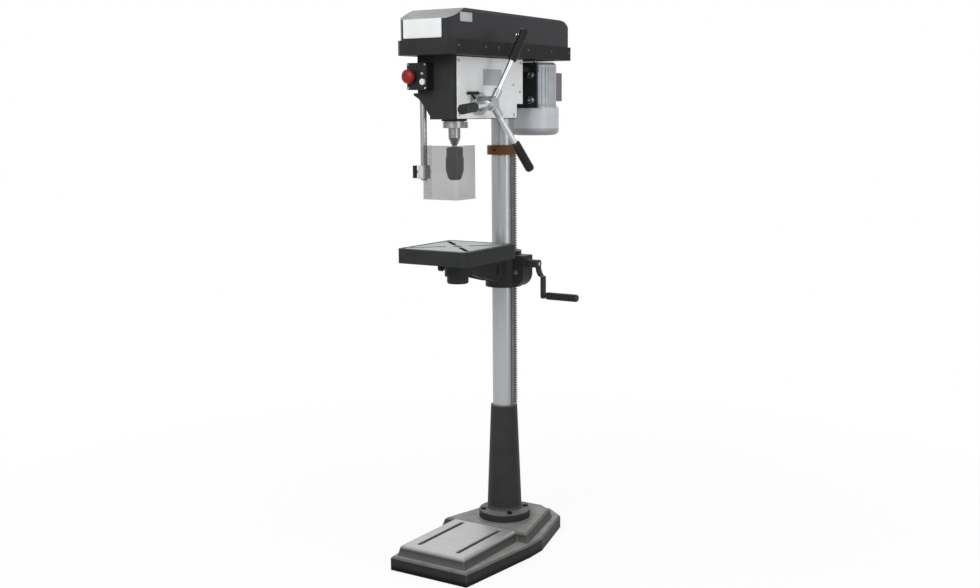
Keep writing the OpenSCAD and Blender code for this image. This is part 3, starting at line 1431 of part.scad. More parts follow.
// The bracket's underside, as drops below the switch housing at distances from the head's side
bracket_drops = [[0, 54], [10, 40], [31, 17]];
bracket_lip = 6;
module guard_bracket() {
  left = -head_half - switch_w - bracket_ear;
  depth = rod_setback + bracket_rear;
  pocket = switch_low - rod_pocket;
  color(dark_paint) difference() {
    translate([0, head_front + depth, 0]) rotate([90, 0, 0]) linear_extrude(depth) polygon(concat(
      [[left, switch_low], [left, switch_low - bracket_lip]],
      [for (i = [len(bracket_drops) - 1:-1:0])
        [-head_half - bracket_drops[i][0], switch_low - bracket_drops[i][1]]],
      [[-head_half, switch_low]]
    ));
    rod_z(rod_r + run_gap, rod_x_pos, rod_y_pos, [head_low, pocket + cut]);
    rod_z(rod_head_d / 2 + face_gap, rod_x_pos, rod_y_pos, [pocket, switch_low + cut]);
  }
}
module guard_rod() {
  pocket = switch_low - rod_pocket;
  color([0.80, 0.81, 0.83]) {
    rod_z(rod_r, rod_x_pos, rod_y_pos, [rod_low, pocket + rod_head_h]);
    rod_z(rod_head_d / 2, rod_x_pos, rod_y_pos, [pocket, pocket + rod_head_h]);
  }
}
clamp_low = 1200;
clamp_h = 40;
clamp_y = 28;
clamp_x = [rod_x_pos - 14, -shield_w / 2];
knob_screw_d = 9;
knob_stem_l = 16;
knob_bar_t = 8;
knob_bar_l = 38;
knob_bar_w = 11;
module guard_clamp() {
  color(black_plastic) difference() {
    block(clamp_x, [rod_y_pos - clamp_y / 2, rod_y_pos + clamp_y / 2], [clamp_low, clamp_low + clamp_h]);
    rod_z(rod_r + run_gap, rod_x_pos, rod_y_pos, [clamp_low - cut, clamp_low + clamp_h + cut]);
    rod_x(knob_screw_d / 2 + run_gap, [clamp_x[0] - cut, rod_x_pos], rod_y_pos, clamp_low + clamp_h / 2);
  }
}
module guard_knob() {
  z = clamp_low + clamp_h / 2;
  x = clamp_x[0] - knob_stem_l;
  color(black_plastic) {
    rod_x(knob_screw_d / 2, [x, rod_x_pos - rod_r - face_gap], rod_y_pos, z);
    block([x - knob_bar_t, x], [rod_y_pos - knob_bar_w / 2, rod_y_pos + knob_bar_w / 2],
      [z - knob_bar_l / 2, z + knob_bar_l / 2]);
  }
}
shield_lead = 34;
shield_wrap = 14;
shield_lap = 4;
shield_front = rod_y_pos - shield_lead;
shield_right_end = spindle_y + shield_wrap;
shield_left_end = rod_y_pos + clamp_y / 2 + shield_lap;
shield_bend = 12;
shield_corner = 24;
module shield_plan(d) {
  w = shield_w / 2 - d;
  r = shield_bend - d;
  front = shield_front + d;
  translate([-w, front + r]) square([2 * w, shield_right_end - front - r + d]);
  translate([r - w, front]) square([2 * w - 2 * r, r + cut]);
  for (s = [-1, 1]) translate([s * (w - r), front + r]) circle(r);
}
module guard_shield() {
  mid = (shield_right_end + shield_left_end) / 2;
  color([0.75, 0.77, 0.78, 0.4]) translate([0, 0, shield_low]) difference() {
    linear_extrude(shield_h) shield_plan(0);
    translate([0, 0, -cut]) linear_extrude(shield_h + 2 * cut) shield_plan(shield_t);
    block([-shield_w, 0], [shield_left_end, shield_right_end + cut], [-cut, shield_h + cut]);
  }
}

base_plate();
column_socket();
flange_bolts();
column();
table_rack();
rack_collar();
table_bracket();
column_clamp_lever();
lift_pinion();
crank_shaft();
crank_arm();
crank_grip();
tilt_bolt();
table_arm();
table();
stem_ring();
table_clamp_lever();
head_casting();
side_panels();
belt_tray();
belt_cover();
lid_hinge_pins();
switch_housing();
switch_plate();
stop_button();
start_button();
quill();
quill_collar();
quill_bearings();
spindle();
chuck_body();
chuck_sleeve();
chuck_jaw_1();
chuck_jaw_2();
chuck_jaw_3();
drive_sleeve();
spindle_pulley();
idler_arm();
idler_pulley();
front_belt();
rear_belt();
motor_shaft();
motor_pulley();
motor_body();
motor_cowl();
terminal_box();
motor_plate();
feed_shaft();
feed_hub();
depth_dial();
depth_clamp();
feed_levers();
lever_grips();
spring_cap();
return_spring();
guard_bracket();
guard_rod();
guard_clamp();
guard_knob();
guard_shield();
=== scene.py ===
# %% [markdown]
# # A pillar drill press
# The machine stands on the floor: a heavy cast foot, a steel column, a table that a crank lifts, and a head
# with a belt drive under a hinged cover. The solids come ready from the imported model. This lesson gives them
# their finishes, adds the small fittings that a solid model leaves out, and sets up light and camera.

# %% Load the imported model
import json
import math

import bpy
import bmesh
from mathutils import Matrix, Vector


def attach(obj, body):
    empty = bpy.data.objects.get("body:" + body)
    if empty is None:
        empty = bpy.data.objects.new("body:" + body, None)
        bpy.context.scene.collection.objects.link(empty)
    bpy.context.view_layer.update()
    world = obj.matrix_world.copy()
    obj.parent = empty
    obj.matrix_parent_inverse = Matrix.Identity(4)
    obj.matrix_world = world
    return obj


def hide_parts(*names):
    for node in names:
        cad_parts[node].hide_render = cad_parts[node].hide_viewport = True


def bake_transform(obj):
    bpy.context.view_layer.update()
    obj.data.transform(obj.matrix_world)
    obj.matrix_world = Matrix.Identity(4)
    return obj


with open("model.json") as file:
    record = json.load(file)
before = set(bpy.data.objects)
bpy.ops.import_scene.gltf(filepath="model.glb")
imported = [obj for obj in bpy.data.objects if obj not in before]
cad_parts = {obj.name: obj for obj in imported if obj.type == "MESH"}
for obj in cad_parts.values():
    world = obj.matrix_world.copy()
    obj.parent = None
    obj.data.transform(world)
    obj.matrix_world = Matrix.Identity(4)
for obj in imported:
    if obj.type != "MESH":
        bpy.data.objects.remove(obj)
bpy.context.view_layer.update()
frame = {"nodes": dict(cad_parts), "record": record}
nodes = frame["nodes"]
MM = 0.001

# %% [markdown]
# ## The camera
# The photograph was taken from the front right, at about the height of the spindle. A camera placed by its
# own axes is easier to match than one that tracks an object, so its matrix is written from three directions:
# right, up and ahead.

# %% Camera
AZIMUTH, HEIGHT, DISTANCE = 32.01, 1.40211, 3.97351
PITCH, ROLL, YAW = 8.40, -0.38, -0.63
FOCAL_PIXELS, IMAGE_WIDTH, SENSOR = 1244.98, 980, 36.0
UPRIGHT = Vector((0, 0, 1))


def add_object(name, data):
    """Puts a mesh, a lamp or a camera into the scene as an object at the origin."""
    thing = bpy.data.objects.new(name, data)
    bpy.context.scene.collection.objects.link(thing)
    return thing


def aim_camera():
    heading, pitch, roll = math.radians(AZIMUTH), math.radians(PITCH), math.radians(ROLL)
    eye = Vector((math.sin(heading) * DISTANCE, -math.cos(heading) * DISTANCE, HEIGHT))
    level = Vector((-math.sin(heading), math.cos(heading), 0.0))
    level = Matrix.Rotation(-math.radians(YAW), 3, "Z") @ level
    ahead = level * math.cos(pitch) - UPRIGHT * math.sin(pitch)
    right = ahead.cross(UPRIGHT).normalized()
    up = right.cross(ahead)
    right, up = (right * math.cos(roll) + up * math.sin(roll),
                 up * math.cos(roll) - right * math.sin(roll))
    data = bpy.data.cameras.new("photo_camera")
    data.sensor_width = SENSOR
    data.lens = FOCAL_PIXELS / IMAGE_WIDTH * SENSOR
    camera = add_object("photo_camera", data)
    turn = Matrix((right, up, -ahead)).transposed().to_4x4()
    camera.matrix_world = Matrix.Translation(eye) @ turn
    bpy.context.scene.camera = camera
    return camera


print("lens:", round(aim_camera().data.lens, 2), "mm")

# %% [markdown]
# ## Nodes in a script
# Floor, light, finishes and repeated fittings are all node trees. Wiring them line by line is long, so a few
# helpers do it: one fills a node's inputs by name, one adds a node with its inputs, one does sums, and one
# maps a range of values onto another.

# %% Node helpers


def fill(tree, socket, value):
    """Links the socket where the value comes from another node, and sets it otherwise."""
    if isinstance(value, bpy.types.NodeSocket):
        tree.links.new(value, socket)
    else:
        socket.default_value = value


def wire(tree, node, **values):
    """Fills inputs by name, with _ for a space."""
    for label, value in values.items():
        fill(tree, node.inputs[label.replace("_", " ")], value)


def add_node(tree, kind, **values):
    node = tree.nodes.new(kind)
    wire(tree, node, **values)
    return node


def math_node(tree, operation, a, b=None, clamp=False):
    node = tree.nodes.new("ShaderNodeMath")
    node.operation = operation
    node.use_clamp = clamp
    for socket, value in zip(node.inputs, (a, b)):
        if value is not None:
            fill(tree, socket, value)
    return node.outputs["Value"]


def vector_node(tree, operation, *vectors):
    node = tree.nodes.new("ShaderNodeVectorMath")
    node.operation = operation
    for socket, vector in zip(node.inputs, vectors):
        fill(tree, socket, vector)
    return node


def range_node(tree, value, low, high, to_low=0.0, to_high=1.0):
    node = add_node(tree, "ShaderNodeMapRange", Value=value, From_Min=low, From_Max=high,
                    To_Min=to_low, To_Max=to_high)
    return node.outputs["Result"]


print("node helpers ready")

# %% [markdown]
# ## Floor and light
# The machine stands on white ground with hardly a shadow. The floor mixes a plain white glow with a pale
# diffuse surface, so the machine's own shadow stays, and far from the machine it fades to pure white. The
# glow is only there for rays that look at the floor, directly or in a reflection: it adds no light to the
# machine.

# %% Floor
FLOOR_HALF, FLOOR_TONE = 14.0, (0.92, 0.92, 0.92, 1)
GLOW_NEAR, FADE_START, FADE_END = 0.90, 0.7, 2.2


def seen_directly(tree):
    """1 for rays that see a surface as a picture: from the camera, in a reflection or through a sheet."""
    ray = tree.nodes.new("ShaderNodeLightPath")
    either = math_node(tree, "MAXIMUM", ray.outputs["Is Camera Ray"], ray.outputs["Is Glossy Ray"])
    return math_node(tree, "MAXIMUM", either, ray.outputs["Is Transmission Ray"])


def plain_floor():
    mesh = bpy.data.meshes.new("studio_floor")
    corners = ((-1, -1), (1, -1), (1, 1), (-1, 1))
    mesh.from_pydata([(x * FLOOR_HALF, y * FLOOR_HALF, 0) for x, y in corners], [], [(0, 1, 2, 3)])
    floor = add_object("studio_floor", mesh)
    material = bpy.data.materials.new("studio_floor")
    material.use_nodes = True
    tree = material.node_tree
    tree.nodes.clear()
    place = tree.nodes.new("ShaderNodeTexCoord")
    reach = vector_node(tree, "LENGTH", place.outputs["Object"])
    fade = range_node(tree, reach.outputs["Value"], FADE_START, FADE_END, GLOW_NEAR)
    cloth = add_node(tree, "ShaderNodeBsdfDiffuse", Color=FLOOR_TONE)
    glow = tree.nodes.new("ShaderNodeEmission")
    mix = add_node(tree, "ShaderNodeMixShader", Fac=math_node(tree, "MULTIPLY", fade, seen_directly(tree)))
    tree.links.new(cloth.outputs["BSDF"], mix.inputs[1])
    tree.links.new(glow.outputs["Emission"], mix.inputs[2])
    add_node(tree, "ShaderNodeOutputMaterial", Surface=mix.outputs["Shader"])
    mesh.materials.append(material)
    return floor


print("floor:", plain_floor().name)

# %% [markdown]
# Three soft lamps light the machine: a large one from the front, a strip from the right that draws the long
# gleam on round steel, and one from behind that lifts the top edges. The world adds an even fill, and shows
# as pure white where the camera or a reflection looks into it.

# %% World and lamps
WORLD_LIGHT, WHITE = 0.42, (1, 1, 1, 1)
LAMPS = (
    # name, place, target, (width, height), power
    ("key_front", (0.3, -3.4, 2.7), (0, -0.1, 1.1), (1.6, 1.6), 84),
    ("strip_right", (3.2, -0.9, 1.4), (0, -0.1, 1.1), (0.9, 2.4), 24),
    ("top_back", (-1.6, 1.6, 3.2), (0, -0.1, 1.3), (2.2, 2.2), 40),
)


def white_world():
    world = bpy.data.worlds.new("studio_world")
    bpy.context.scene.world = world
    world.use_nodes = True
    tree = world.node_tree
    tree.nodes.clear()
    strength = range_node(tree, seen_directly(tree), 0.0, 1.0, WORLD_LIGHT)
    sky = add_node(tree, "ShaderNodeBackground", Color=WHITE, Strength=strength)
    add_node(tree, "ShaderNodeOutputWorld", Surface=sky.outputs["Background"])


def soft_lamp(name, place, target, size, power):
    data = bpy.data.lights.new(name, "AREA")
    data.shape = "RECTANGLE"
    data.size, data.size_y = size
    data.energy = power
    lamp = add_object(name, data)
    lamp.location = place
    aim = Vector(target) - Vector(place)
    lamp.rotation_euler = aim.to_track_quat("-Z", "Y").to_euler()


white_world()
for lamp_values in LAMPS:
    soft_lamp(*lamp_values)
bpy.context.scene.view_settings.view_transform = "Standard"
print("lamps:", len(LAMPS))

# %% [markdown]
# ## Shared finish tricks
# Real castings are never a flat colour. Paint pulls thin on edges, takes up dust on top faces and dries with
# a fine skin. These effects are shader groups, built once and used by each finish with its own values.

# %% Helpers for shader groups
FLOAT, VECTOR = "NodeSocketFloat", "NodeSocketVector"
MIX_FACTOR, MIX_A, MIX_B, MIX_RESULT = 0, 6, 7, 2


def node_group(name, kind, inputs, outputs):
    """An empty node group: an input is (label, socket type, default or None), an output has no default."""
    tree = bpy.data.node_groups.new(name, kind)
    for label, socket_type, value in inputs:
        socket = tree.interface.new_socket(label, in_out="INPUT", socket_type=socket_type)
        if value is not None:
            socket.default_value = value
    for label, socket_type in outputs:
        tree.interface.new_socket(label, in_out="OUTPUT", socket_type=socket_type)
    return tree, tree.nodes.new("NodeGroupInput"), tree.nodes.new("NodeGroupOutput")


def shader_group(name, inputs, outputs):
    return node_group(name, "ShaderNodeTree", inputs, outputs)


def noise_node(tree, vector, scale, detail=3.0, rough=0.5):
    node = add_node(tree, "ShaderNodeTexNoise", Vector=vector, Scale=scale, Detail=detail, Roughness=rough)
    return node.outputs["Fac"]


def mix_colour(tree, factor, a, b):
    """Mixes two colours, each a plain (r, g, b) or the output of a node."""
    node = tree.nodes.new("ShaderNodeMix")
    node.data_type = "RGBA"
    for index, value in ((MIX_FACTOR, factor), (MIX_A, a), (MIX_B, b)):
        fill(tree, node.inputs[index], (*value, 1.0) if isinstance(value, tuple) else value)
    return node.outputs[MIX_RESULT]


print("group helpers ready")

# %% [markdown]
# The edge group rounds the light on sharp corners and says where those corners are: it compares the normal of
# a bevel with the true one. The skin group gives the fine orange-peel of sprayed paint, and slow blotches of
# lighter and darker tone. Both could be painted by hand, but as groups they follow any shape.

# %% Edge and skin groups
EDGE_STARTS, EDGE_FULL, EDGE_SAMPLES = 0.985, 0.80, 4


def edge_group():
    tree, start, end = shader_group("worn_edges", [("Radius", FLOAT, 0.0015)],
                                    [("Mask", FLOAT), ("Normal", VECTOR)])
    bevel = add_node(tree, "ShaderNodeBevel", Radius=start.outputs["Radius"])
    bevel.samples = EDGE_SAMPLES
    shape = tree.nodes.new("ShaderNodeNewGeometry")
    facing = vector_node(tree, "DOT_PRODUCT", bevel.outputs["Normal"], shape.outputs["Normal"])
    wire(tree, end, Mask=range_node(tree, facing.outputs["Value"], EDGE_STARTS, EDGE_FULL),
         Normal=bevel.outputs["Normal"])
    return tree


def skin_group():
    tree, start, end = shader_group(
        "sprayed_skin", [("Peel Scale", FLOAT, 900.0), ("Blotch Scale", FLOAT, 14.0)],
        [("Height", FLOAT), ("Blotch", FLOAT)])
    place = tree.nodes.new("ShaderNodeTexCoord").outputs["Object"]
    wire(tree, end, Height=noise_node(tree, place, start.outputs["Peel Scale"], detail=2.0),
         Blotch=noise_node(tree, place, start.outputs["Blotch Scale"], detail=4.0, rough=0.6))
    return tree


EDGES, SKIN = edge_group(), skin_group()
print("groups:", EDGES.name, SKIN.name)

# %% [markdown]
# The dust group finds faces that look up and breaks the dust into clouds. The tool-mark group turns a
# stretched noise into the fine lines that a lathe or a grinder leaves. Its smudges are not stretched.

# %% Dust and tool-mark groups
DUST_STARTS, DUST_FULL = 0.55, 0.95
CLOUD_SCALE, CLOUD_LOW, CLOUD_HIGH, CLOUD_THIN = 26.0, 0.3, 0.75, 0.65
SHADE_SCALE, SMUDGE_SCALE = 6.0, 22.0


def dust_group():
    tree, start, end = shader_group("top_dust", [("Amount", FLOAT, 0.3)], [("Mask", FLOAT)])
    place = tree.nodes.new("ShaderNodeTexCoord")
    split = add_node(tree, "ShaderNodeSeparateXYZ", Vector=place.outputs["Normal"])
    upward = range_node(tree, split.outputs["Z"], DUST_STARTS, DUST_FULL)
    cloud = range_node(tree, noise_node(tree, place.outputs["Object"], CLOUD_SCALE),
                       CLOUD_LOW, CLOUD_HIGH, CLOUD_THIN)
    settled = math_node(tree, "MULTIPLY", upward, cloud)
    wire(tree, end, Mask=math_node(tree, "MULTIPLY", settled, start.outputs["Amount"]))
    return tree


def tool_mark_group():
    tree, start, end = shader_group(
        "tool_marks", [("Stretch", VECTOR, (1.0, 1.0, 1.0)), ("Fine", FLOAT, 40.0)],
        [("Height", FLOAT), ("Shade", FLOAT), ("Smudge", FLOAT)])
    place = tree.nodes.new("ShaderNodeTexCoord")
    stretch = vector_node(tree, "MULTIPLY", place.outputs["Object"], start.outputs["Stretch"])
    drawn = stretch.outputs["Vector"]
    wire(tree, end, Height=noise_node(tree, drawn, start.outputs["Fine"], rough=0.7),
         Shade=noise_node(tree, drawn, SHADE_SCALE, detail=4.0, rough=0.6),
         Smudge=noise_node(tree, place.outputs["Object"], SMUDGE_SCALE, detail=4.0, rough=0.55))
    return tree


DUST, MARKS = dust_group(), tool_mark_group()
print("groups:", DUST.name, MARKS.name)

# %% [markdown]
# ## Finishes
# Each finish is one function with the values that change from piece to piece: colour, gloss, grain and wear.
# All of them start from the same few steps: a tone that varies slowly over the surface, other colours laid
# over it through masks, and a bump for the fine grain.

# %% Helpers for finishes
NOISE_LOW, NOISE_HIGH = 0.3, 0.7
SETTLE_EDGE = 0.0005


def new_finish(name):
    material = bpy.data.materials.new(name)
    material.use_nodes = True
    tree = material.node_tree
    return material, tree, tree.nodes["Principled BSDF"]


def use_group(tree, group, **values):
    node = tree.nodes.new("ShaderNodeGroup")
    node.node_tree = group
    wire(tree, node, **values)
    return node.outputs


def bump(tree, height, normal, strength, distance):
    node = add_node(tree, "ShaderNodeBump", Strength=strength, Distance=distance, Height=height,
                    Normal=normal)
    return node.outputs["Normal"]


def shade_of(colour, factor):
    return tuple(min(1.0, c * factor) for c in colour)


def over_noise(tree, noise, low=0.0, high=1.0):
    """Runs from low to high over the middle of a noise, where most of its values are."""
    return range_node(tree, noise, NOISE_LOW, NOISE_HIGH, low, high)


def mottled(tree, noise, colour, dark, light):
    """The colour times dark to the colour times light, as the noise goes."""
    return mix_colour(tree, over_noise(tree, noise), shade_of(colour, dark), shade_of(colour, light))


def lay_over(tree, tone, mask, amount, colour):
    """Another colour over the tone, as strong as the mask times the amount."""
    return mix_colour(tree, math_node(tree, "MULTIPLY", mask, amount), tone, colour)


def position_split(tree):
    place = tree.nodes.new("ShaderNodeTexCoord")
    split = add_node(tree, "ShaderNodeSeparateXYZ", Vector=place.outputs["Object"])
    return split.outputs["X"], split.outputs["Y"], split.outputs["Z"]


def lay_height_bands(tree, tone, layers):
    """A colour that keeps to a height, for dust and for painted shade: each layer is (lowest, thick up to,
    gone at, amount, colour).
    """
    for lowest, thick, gone, amount, colour in layers:
        height = position_split(tree)[2]
        cover = math_node(tree, "MULTIPLY", range_node(tree, height, gone, thick, 0.0, amount),
                          range_node(tree, height, lowest - SETTLE_EDGE, lowest))
        tone = mix_colour(tree, cover, tone, colour)
    return tone


print("finish helpers ready")

# %% [markdown]
# Paint covers the castings, the sheet panels and the motor. The castings are dark and satin, the panels light
# and smooth. A picture of real paint would be the quick way, but it repeats and stretches. Here the skin
# gives the tone, dust lies on top, and on edges the paint is chipped where a blotch says so.

# %% Paint
PAINT_DUST, CHIP_LOW, CHIP_HIGH = (0.34, 0.335, 0.32), 0.42, 0.62
GLOSSIER, DULLER, DUSTY_ROUGH, PEEL_STRENGTH = 0.05, 0.07, 0.25, 0.35


# settled takes bands by height: dust on the socket, and the painted shade under the cowl.
def painted(name, colour, rough=0.42, peel=900.0, peel_depth=0.00032, wear=0.35, worn=(0.30, 0.30, 0.30),
            dust=0.25, radius=0.0015, shine=0.28, blotch=0.14, settled=()):
    material, tree, bsdf = new_finish(name)
    edges = use_group(tree, EDGES, Radius=radius)
    skin = use_group(tree, SKIN, Peel_Scale=peel)
    dusty = use_group(tree, DUST, Amount=dust)
    tone = mottled(tree, skin["Blotch"], colour, 1 - blotch, 1 + blotch)
    tone = mix_colour(tree, dusty["Mask"], tone, PAINT_DUST)
    chipped = math_node(tree, "MULTIPLY", edges["Mask"],
                        range_node(tree, skin["Blotch"], CHIP_LOW, CHIP_HIGH))
    tone = lay_height_bands(tree, lay_over(tree, tone, chipped, wear, worn), settled)
    gloss = over_noise(tree, skin["Blotch"], rough - GLOSSIER, rough + DULLER)
    gloss = math_node(tree, "ADD", gloss, math_node(tree, "MULTIPLY", dusty["Mask"], DUSTY_ROUGH))
    wire(tree, bsdf, Base_Color=tone, Roughness=gloss, Specular_IOR_Level=shine,
         Normal=bump(tree, skin["Height"], edges["Normal"], PEEL_STRENGTH, peel_depth))
    return material


# The bottom band of the cowl is painted darker: a painted shade where its rounded end curves under towards the
# floor.
UNDERSIDE_SHADE = (0.145, 0.15, 0.16)
COWL_UNDERSIDE_SHADE = ((1.319, 1.341, 1.345, 0.4, UNDERSIDE_SHADE), (1.319, 1.320, 1.345, 0.85, UNDERSIDE_SHADE))
SOCKET_DUST = ((0.101, 0.103, 0.120, 0.6, (0.15, 0.15, 0.145)),)
FINISHES = {
    "cast_dark": painted("dark_casting_paint", (0.025, 0.0255, 0.0265), rough=0.46, shine=0.08),
    "cover_paint": painted("cover_paint", (0.026, 0.0255, 0.030), rough=0.36, peel=1300.0,
                           peel_depth=0.00048, shine=0.14),
    "panel_white": painted("panel_paint", (0.84, 0.86, 0.865), rough=0.36, wear=0.15, dust=0.1,
                           blotch=0.04),
    "motor_grey": painted("motor_paint", (0.50, 0.535, 0.565), rough=0.24, wear=0.2,
                          worn=(0.62, 0.64, 0.66), dust=0.15, shine=0.5, blotch=0.06),
    "collar_brown": painted("brown_collar", (0.092, 0.037, 0.004), rough=0.45, dust=0.05, wear=0.1,
                            shine=0.2),
}
PIECE_FINISHES = {
    "column_socket": painted("socket_paint", (0.030, 0.0302, 0.0302), rough=0.48, dust=0.8, wear=0.8,
                             shine=0.08, radius=0.003, settled=SOCKET_DUST),
    "belt_tray": painted("tray_paint", (0.028, 0.028, 0.0287), rough=0.40, shine=0.03),
    "motor_cowl": painted("cowl_paint", (0.58, 0.61, 0.64), rough=0.26, wear=0.1, dust=0.1, shine=0.25,
                          blotch=0.04, settled=COWL_UNDERSIDE_SHADE),
    "terminal_box": painted("box_paint", (0.16, 0.155, 0.17), rough=0.36, wear=0.1, dust=0.1, blotch=0.05),
}
print("paints:", len(FINISHES) + len(PIECE_FINISHES))

# %% [markdown]
# Column, spindle, chuck and levers are bare steel, ground or turned. Metal shows what stands around it, so
# its own tone matters less than how rough it is and which way the tool marks run. The marks are stretched
# along one axis. Beside the lifting rack the column is painted darker: a painted shade and dark reflection.

# %% Bare metal
SMUDGE_LOW, SMUDGE_HIGH, SMUDGE_TONE = 0.5, 0.75, 0.62
SHEEN_LOW, SHEEN_HIGH, SHEEN_BELOW, SHEEN_ABOVE = 0.35, 0.7, 0.4, 0.6
METAL_EDGE, RUBBED, RUBBED_TONE, LINE_STRENGTH = 0.0008, 0.4, 1.25, 0.5
# The column's side beside the rack is painted darker: painted shade and a dark reflection.
RACK_SIDE_SHADE_STARTS, RACK_SIDE_SHADE_FULL, RACK_SIDE_SHADE_TONE = 0.70, 0.97, 0.3


def smudges(tree, marks):
    return range_node(tree, marks["Smudge"], SMUDGE_LOW, SMUDGE_HIGH)


def rack_side_shade_mask(tree):
    """1 on the side of the column where the rack stands, which is +X, fading out to both sides: where the
    painted shade and dark reflection go.
    """
    x, y, _ = position_split(tree)
    square = math_node(tree, "ADD", math_node(tree, "MULTIPLY", x, x), math_node(tree, "MULTIPLY", y, y))
    toward = math_node(tree, "DIVIDE", x, math_node(tree, "SQRT", square))
    return range_node(tree, toward, RACK_SIDE_SHADE_STARTS, RACK_SIDE_SHADE_FULL)


def bare_metal(name, colour, rough=0.32, stretch=(1.0, 1.0, 30.0), line_depth=0.00004, dark=0.72,
               metallic=1.0, shine=0.5, smudge=0.35, uneven=0.16, rack_side_shade=0.0):
    material, tree, bsdf = new_finish(name)
    edges = use_group(tree, EDGES, Radius=METAL_EDGE)
    marks = use_group(tree, MARKS, Stretch=stretch)
    tone = mottled(tree, marks["Shade"], colour, dark, 1.0)
    tone = lay_over(tree, tone, smudges(tree, marks), smudge, shade_of(colour, SMUDGE_TONE))
    tone = lay_over(tree, tone, edges["Mask"], RUBBED, shade_of(colour, RUBBED_TONE))
    # Painted shade and dark reflection on the side beside the rack.
    if rack_side_shade:
        tone = lay_over(tree, tone, rack_side_shade_mask(tree), rack_side_shade, shade_of(colour, RACK_SIDE_SHADE_TONE))
    gloss = range_node(tree, marks["Smudge"], SHEEN_LOW, SHEEN_HIGH,
                       rough - uneven * SHEEN_BELOW, rough + uneven * SHEEN_ABOVE)
    wire(tree, bsdf, Base_Color=tone, Metallic=metallic, Roughness=gloss, Specular_IOR_Level=shine,
         Normal=bump(tree, marks["Height"], edges["Normal"], LINE_STRENGTH, line_depth))
    return material


print("bare metal ready")

# %% [markdown]
# Most metal pieces share a few finishes. The column, the levers, the rod of the guard, the spindle and its
# collar, the rack and the pulleys are seen closely and get their own.

# %% Metals of this machine
FINE_LINE, ALLOY = 0.00001, (0.41, 0.425, 0.43)
FINISHES.update({
    "steel": bare_metal("ground_steel", (0.42, 0.43, 0.435), rough=0.30, line_depth=FINE_LINE, dark=0.93),
    "bright": bare_metal("bright_plating", (0.74, 0.75, 0.76), rough=0.16, line_depth=FINE_LINE, dark=0.9),
    "black_oxide": bare_metal("blackened_steel", (0.024, 0.025, 0.026), rough=0.36),
    "alloy": bare_metal("turned_alloy", ALLOY, rough=0.30, stretch=(24.0, 1.0, 1.0), line_depth=FINE_LINE),
    "dull_rivet": bare_metal("dull_rivet", (0.16, 0.16, 0.165), rough=0.40, line_depth=FINE_LINE,
                             metallic=0.6, shine=0.2),
})
PIECE_FINISHES.update({
    # The column's rack side is painted darker: painted shade and a dark reflection.
    "column": bare_metal("column_steel", (0.37, 0.383, 0.392), rough=0.30, line_depth=0.000003, dark=0.98,
                         metallic=0.5, shine=0.2, smudge=0.05, uneven=0.03, rack_side_shade=0.55),
    "feed_levers": bare_metal("lever_plating", (0.58, 0.59, 0.60), rough=0.30, line_depth=0.0000005,
                              dark=0.95, smudge=0.1, uneven=0.04),
    "guard_rod": bare_metal("rod_steel", (0.29, 0.30, 0.30), rough=0.30, line_depth=0.000005, dark=0.95,
                            metallic=0.6),
    "spindle": bare_metal("spindle_steel", (0.24, 0.235, 0.237), rough=0.28, line_depth=FINE_LINE,
                          dark=0.85),
    "quill_collar": bare_metal("collar_steel", (0.26, 0.262, 0.264), rough=0.34, line_depth=0.000005,
                               dark=0.92, smudge=0.15),
    "table_rack": bare_metal("rack_steel", (0.19, 0.195, 0.19), rough=0.42, line_depth=FINE_LINE,
                             metallic=0.6),
})
PULLEY_FINISH = bare_metal("turned_pulley", ALLOY, rough=0.34, line_depth=FINE_LINE, dark=0.92, smudge=0.15)
PIECE_FINISHES.update({name: PULLEY_FINISH for name in ("spindle_pulley", "idler_pulley", "motor_pulley")})
print("paints and metals:", len(FINISHES) + len(PIECE_FINISHES))

# %% [markdown]
# Grips, buttons, the clamp of the guard and the belts are moulded. Moulded plastic has an even grain from its
# mould and pales where hands rub its edges, so the skin and edge groups are enough.

# %% Moulded pieces
MOULD_EDGE, MOULD_BLOTCH, MOULD_UNEVEN, GRAIN_STRENGTH = 0.001, 24.0, 0.06, 0.4
MOULD_DARK, MOULD_LIGHT, MOULD_WORN = 0.85, 1.2, 2.2


def moulded(name, colour, rough=0.5, grain=700.0, grain_depth=0.00012, wear=0.2, coat=0.0, shine=0.5):
    material, tree, bsdf = new_finish(name)
    edges = use_group(tree, EDGES, Radius=MOULD_EDGE)
    skin = use_group(tree, SKIN, Peel_Scale=grain, Blotch_Scale=MOULD_BLOTCH)
    tone = mottled(tree, skin["Blotch"], colour, MOULD_DARK, MOULD_LIGHT)
    tone = lay_over(tree, tone, edges["Mask"], wear, shade_of(colour, MOULD_WORN))
    wire(tree, bsdf, Base_Color=tone, Coat_Weight=coat, Specular_IOR_Level=shine,
         Roughness=over_noise(tree, skin["Blotch"], rough - MOULD_UNEVEN, rough + MOULD_UNEVEN),
         Normal=bump(tree, skin["Height"], edges["Normal"], GRAIN_STRENGTH, grain_depth))
    return material


FINISHES.update({
    "black_plastic": moulded("black_grip_plastic", (0.009, 0.009, 0.009), rough=0.42, shine=0.22),
    "red_plastic": moulded("red_button_plastic", (0.18, 0.004, 0.004), rough=0.46, grain_depth=0.00002,
                           wear=0.03, shine=0.3),
    "white_plastic": moulded("white_button_plastic", (0.54, 0.54, 0.50), rough=0.32, grain_depth=0.00002,
                             wear=0.0, coat=0.3),
    "belt_rubber": moulded("belt_rubber", (0.016, 0.016, 0.016), rough=0.62, grain=400.0,
                           grain_depth=0.0003),
})
PIECE_FINISHES["guard_clamp"] = moulded("pale_clamp_plastic", (0.46, 0.47, 0.47), rough=0.45,
                                        grain_depth=0.00003, wear=0.0)
print("with moulded pieces:", len(FINISHES) + len(PIECE_FINISHES))
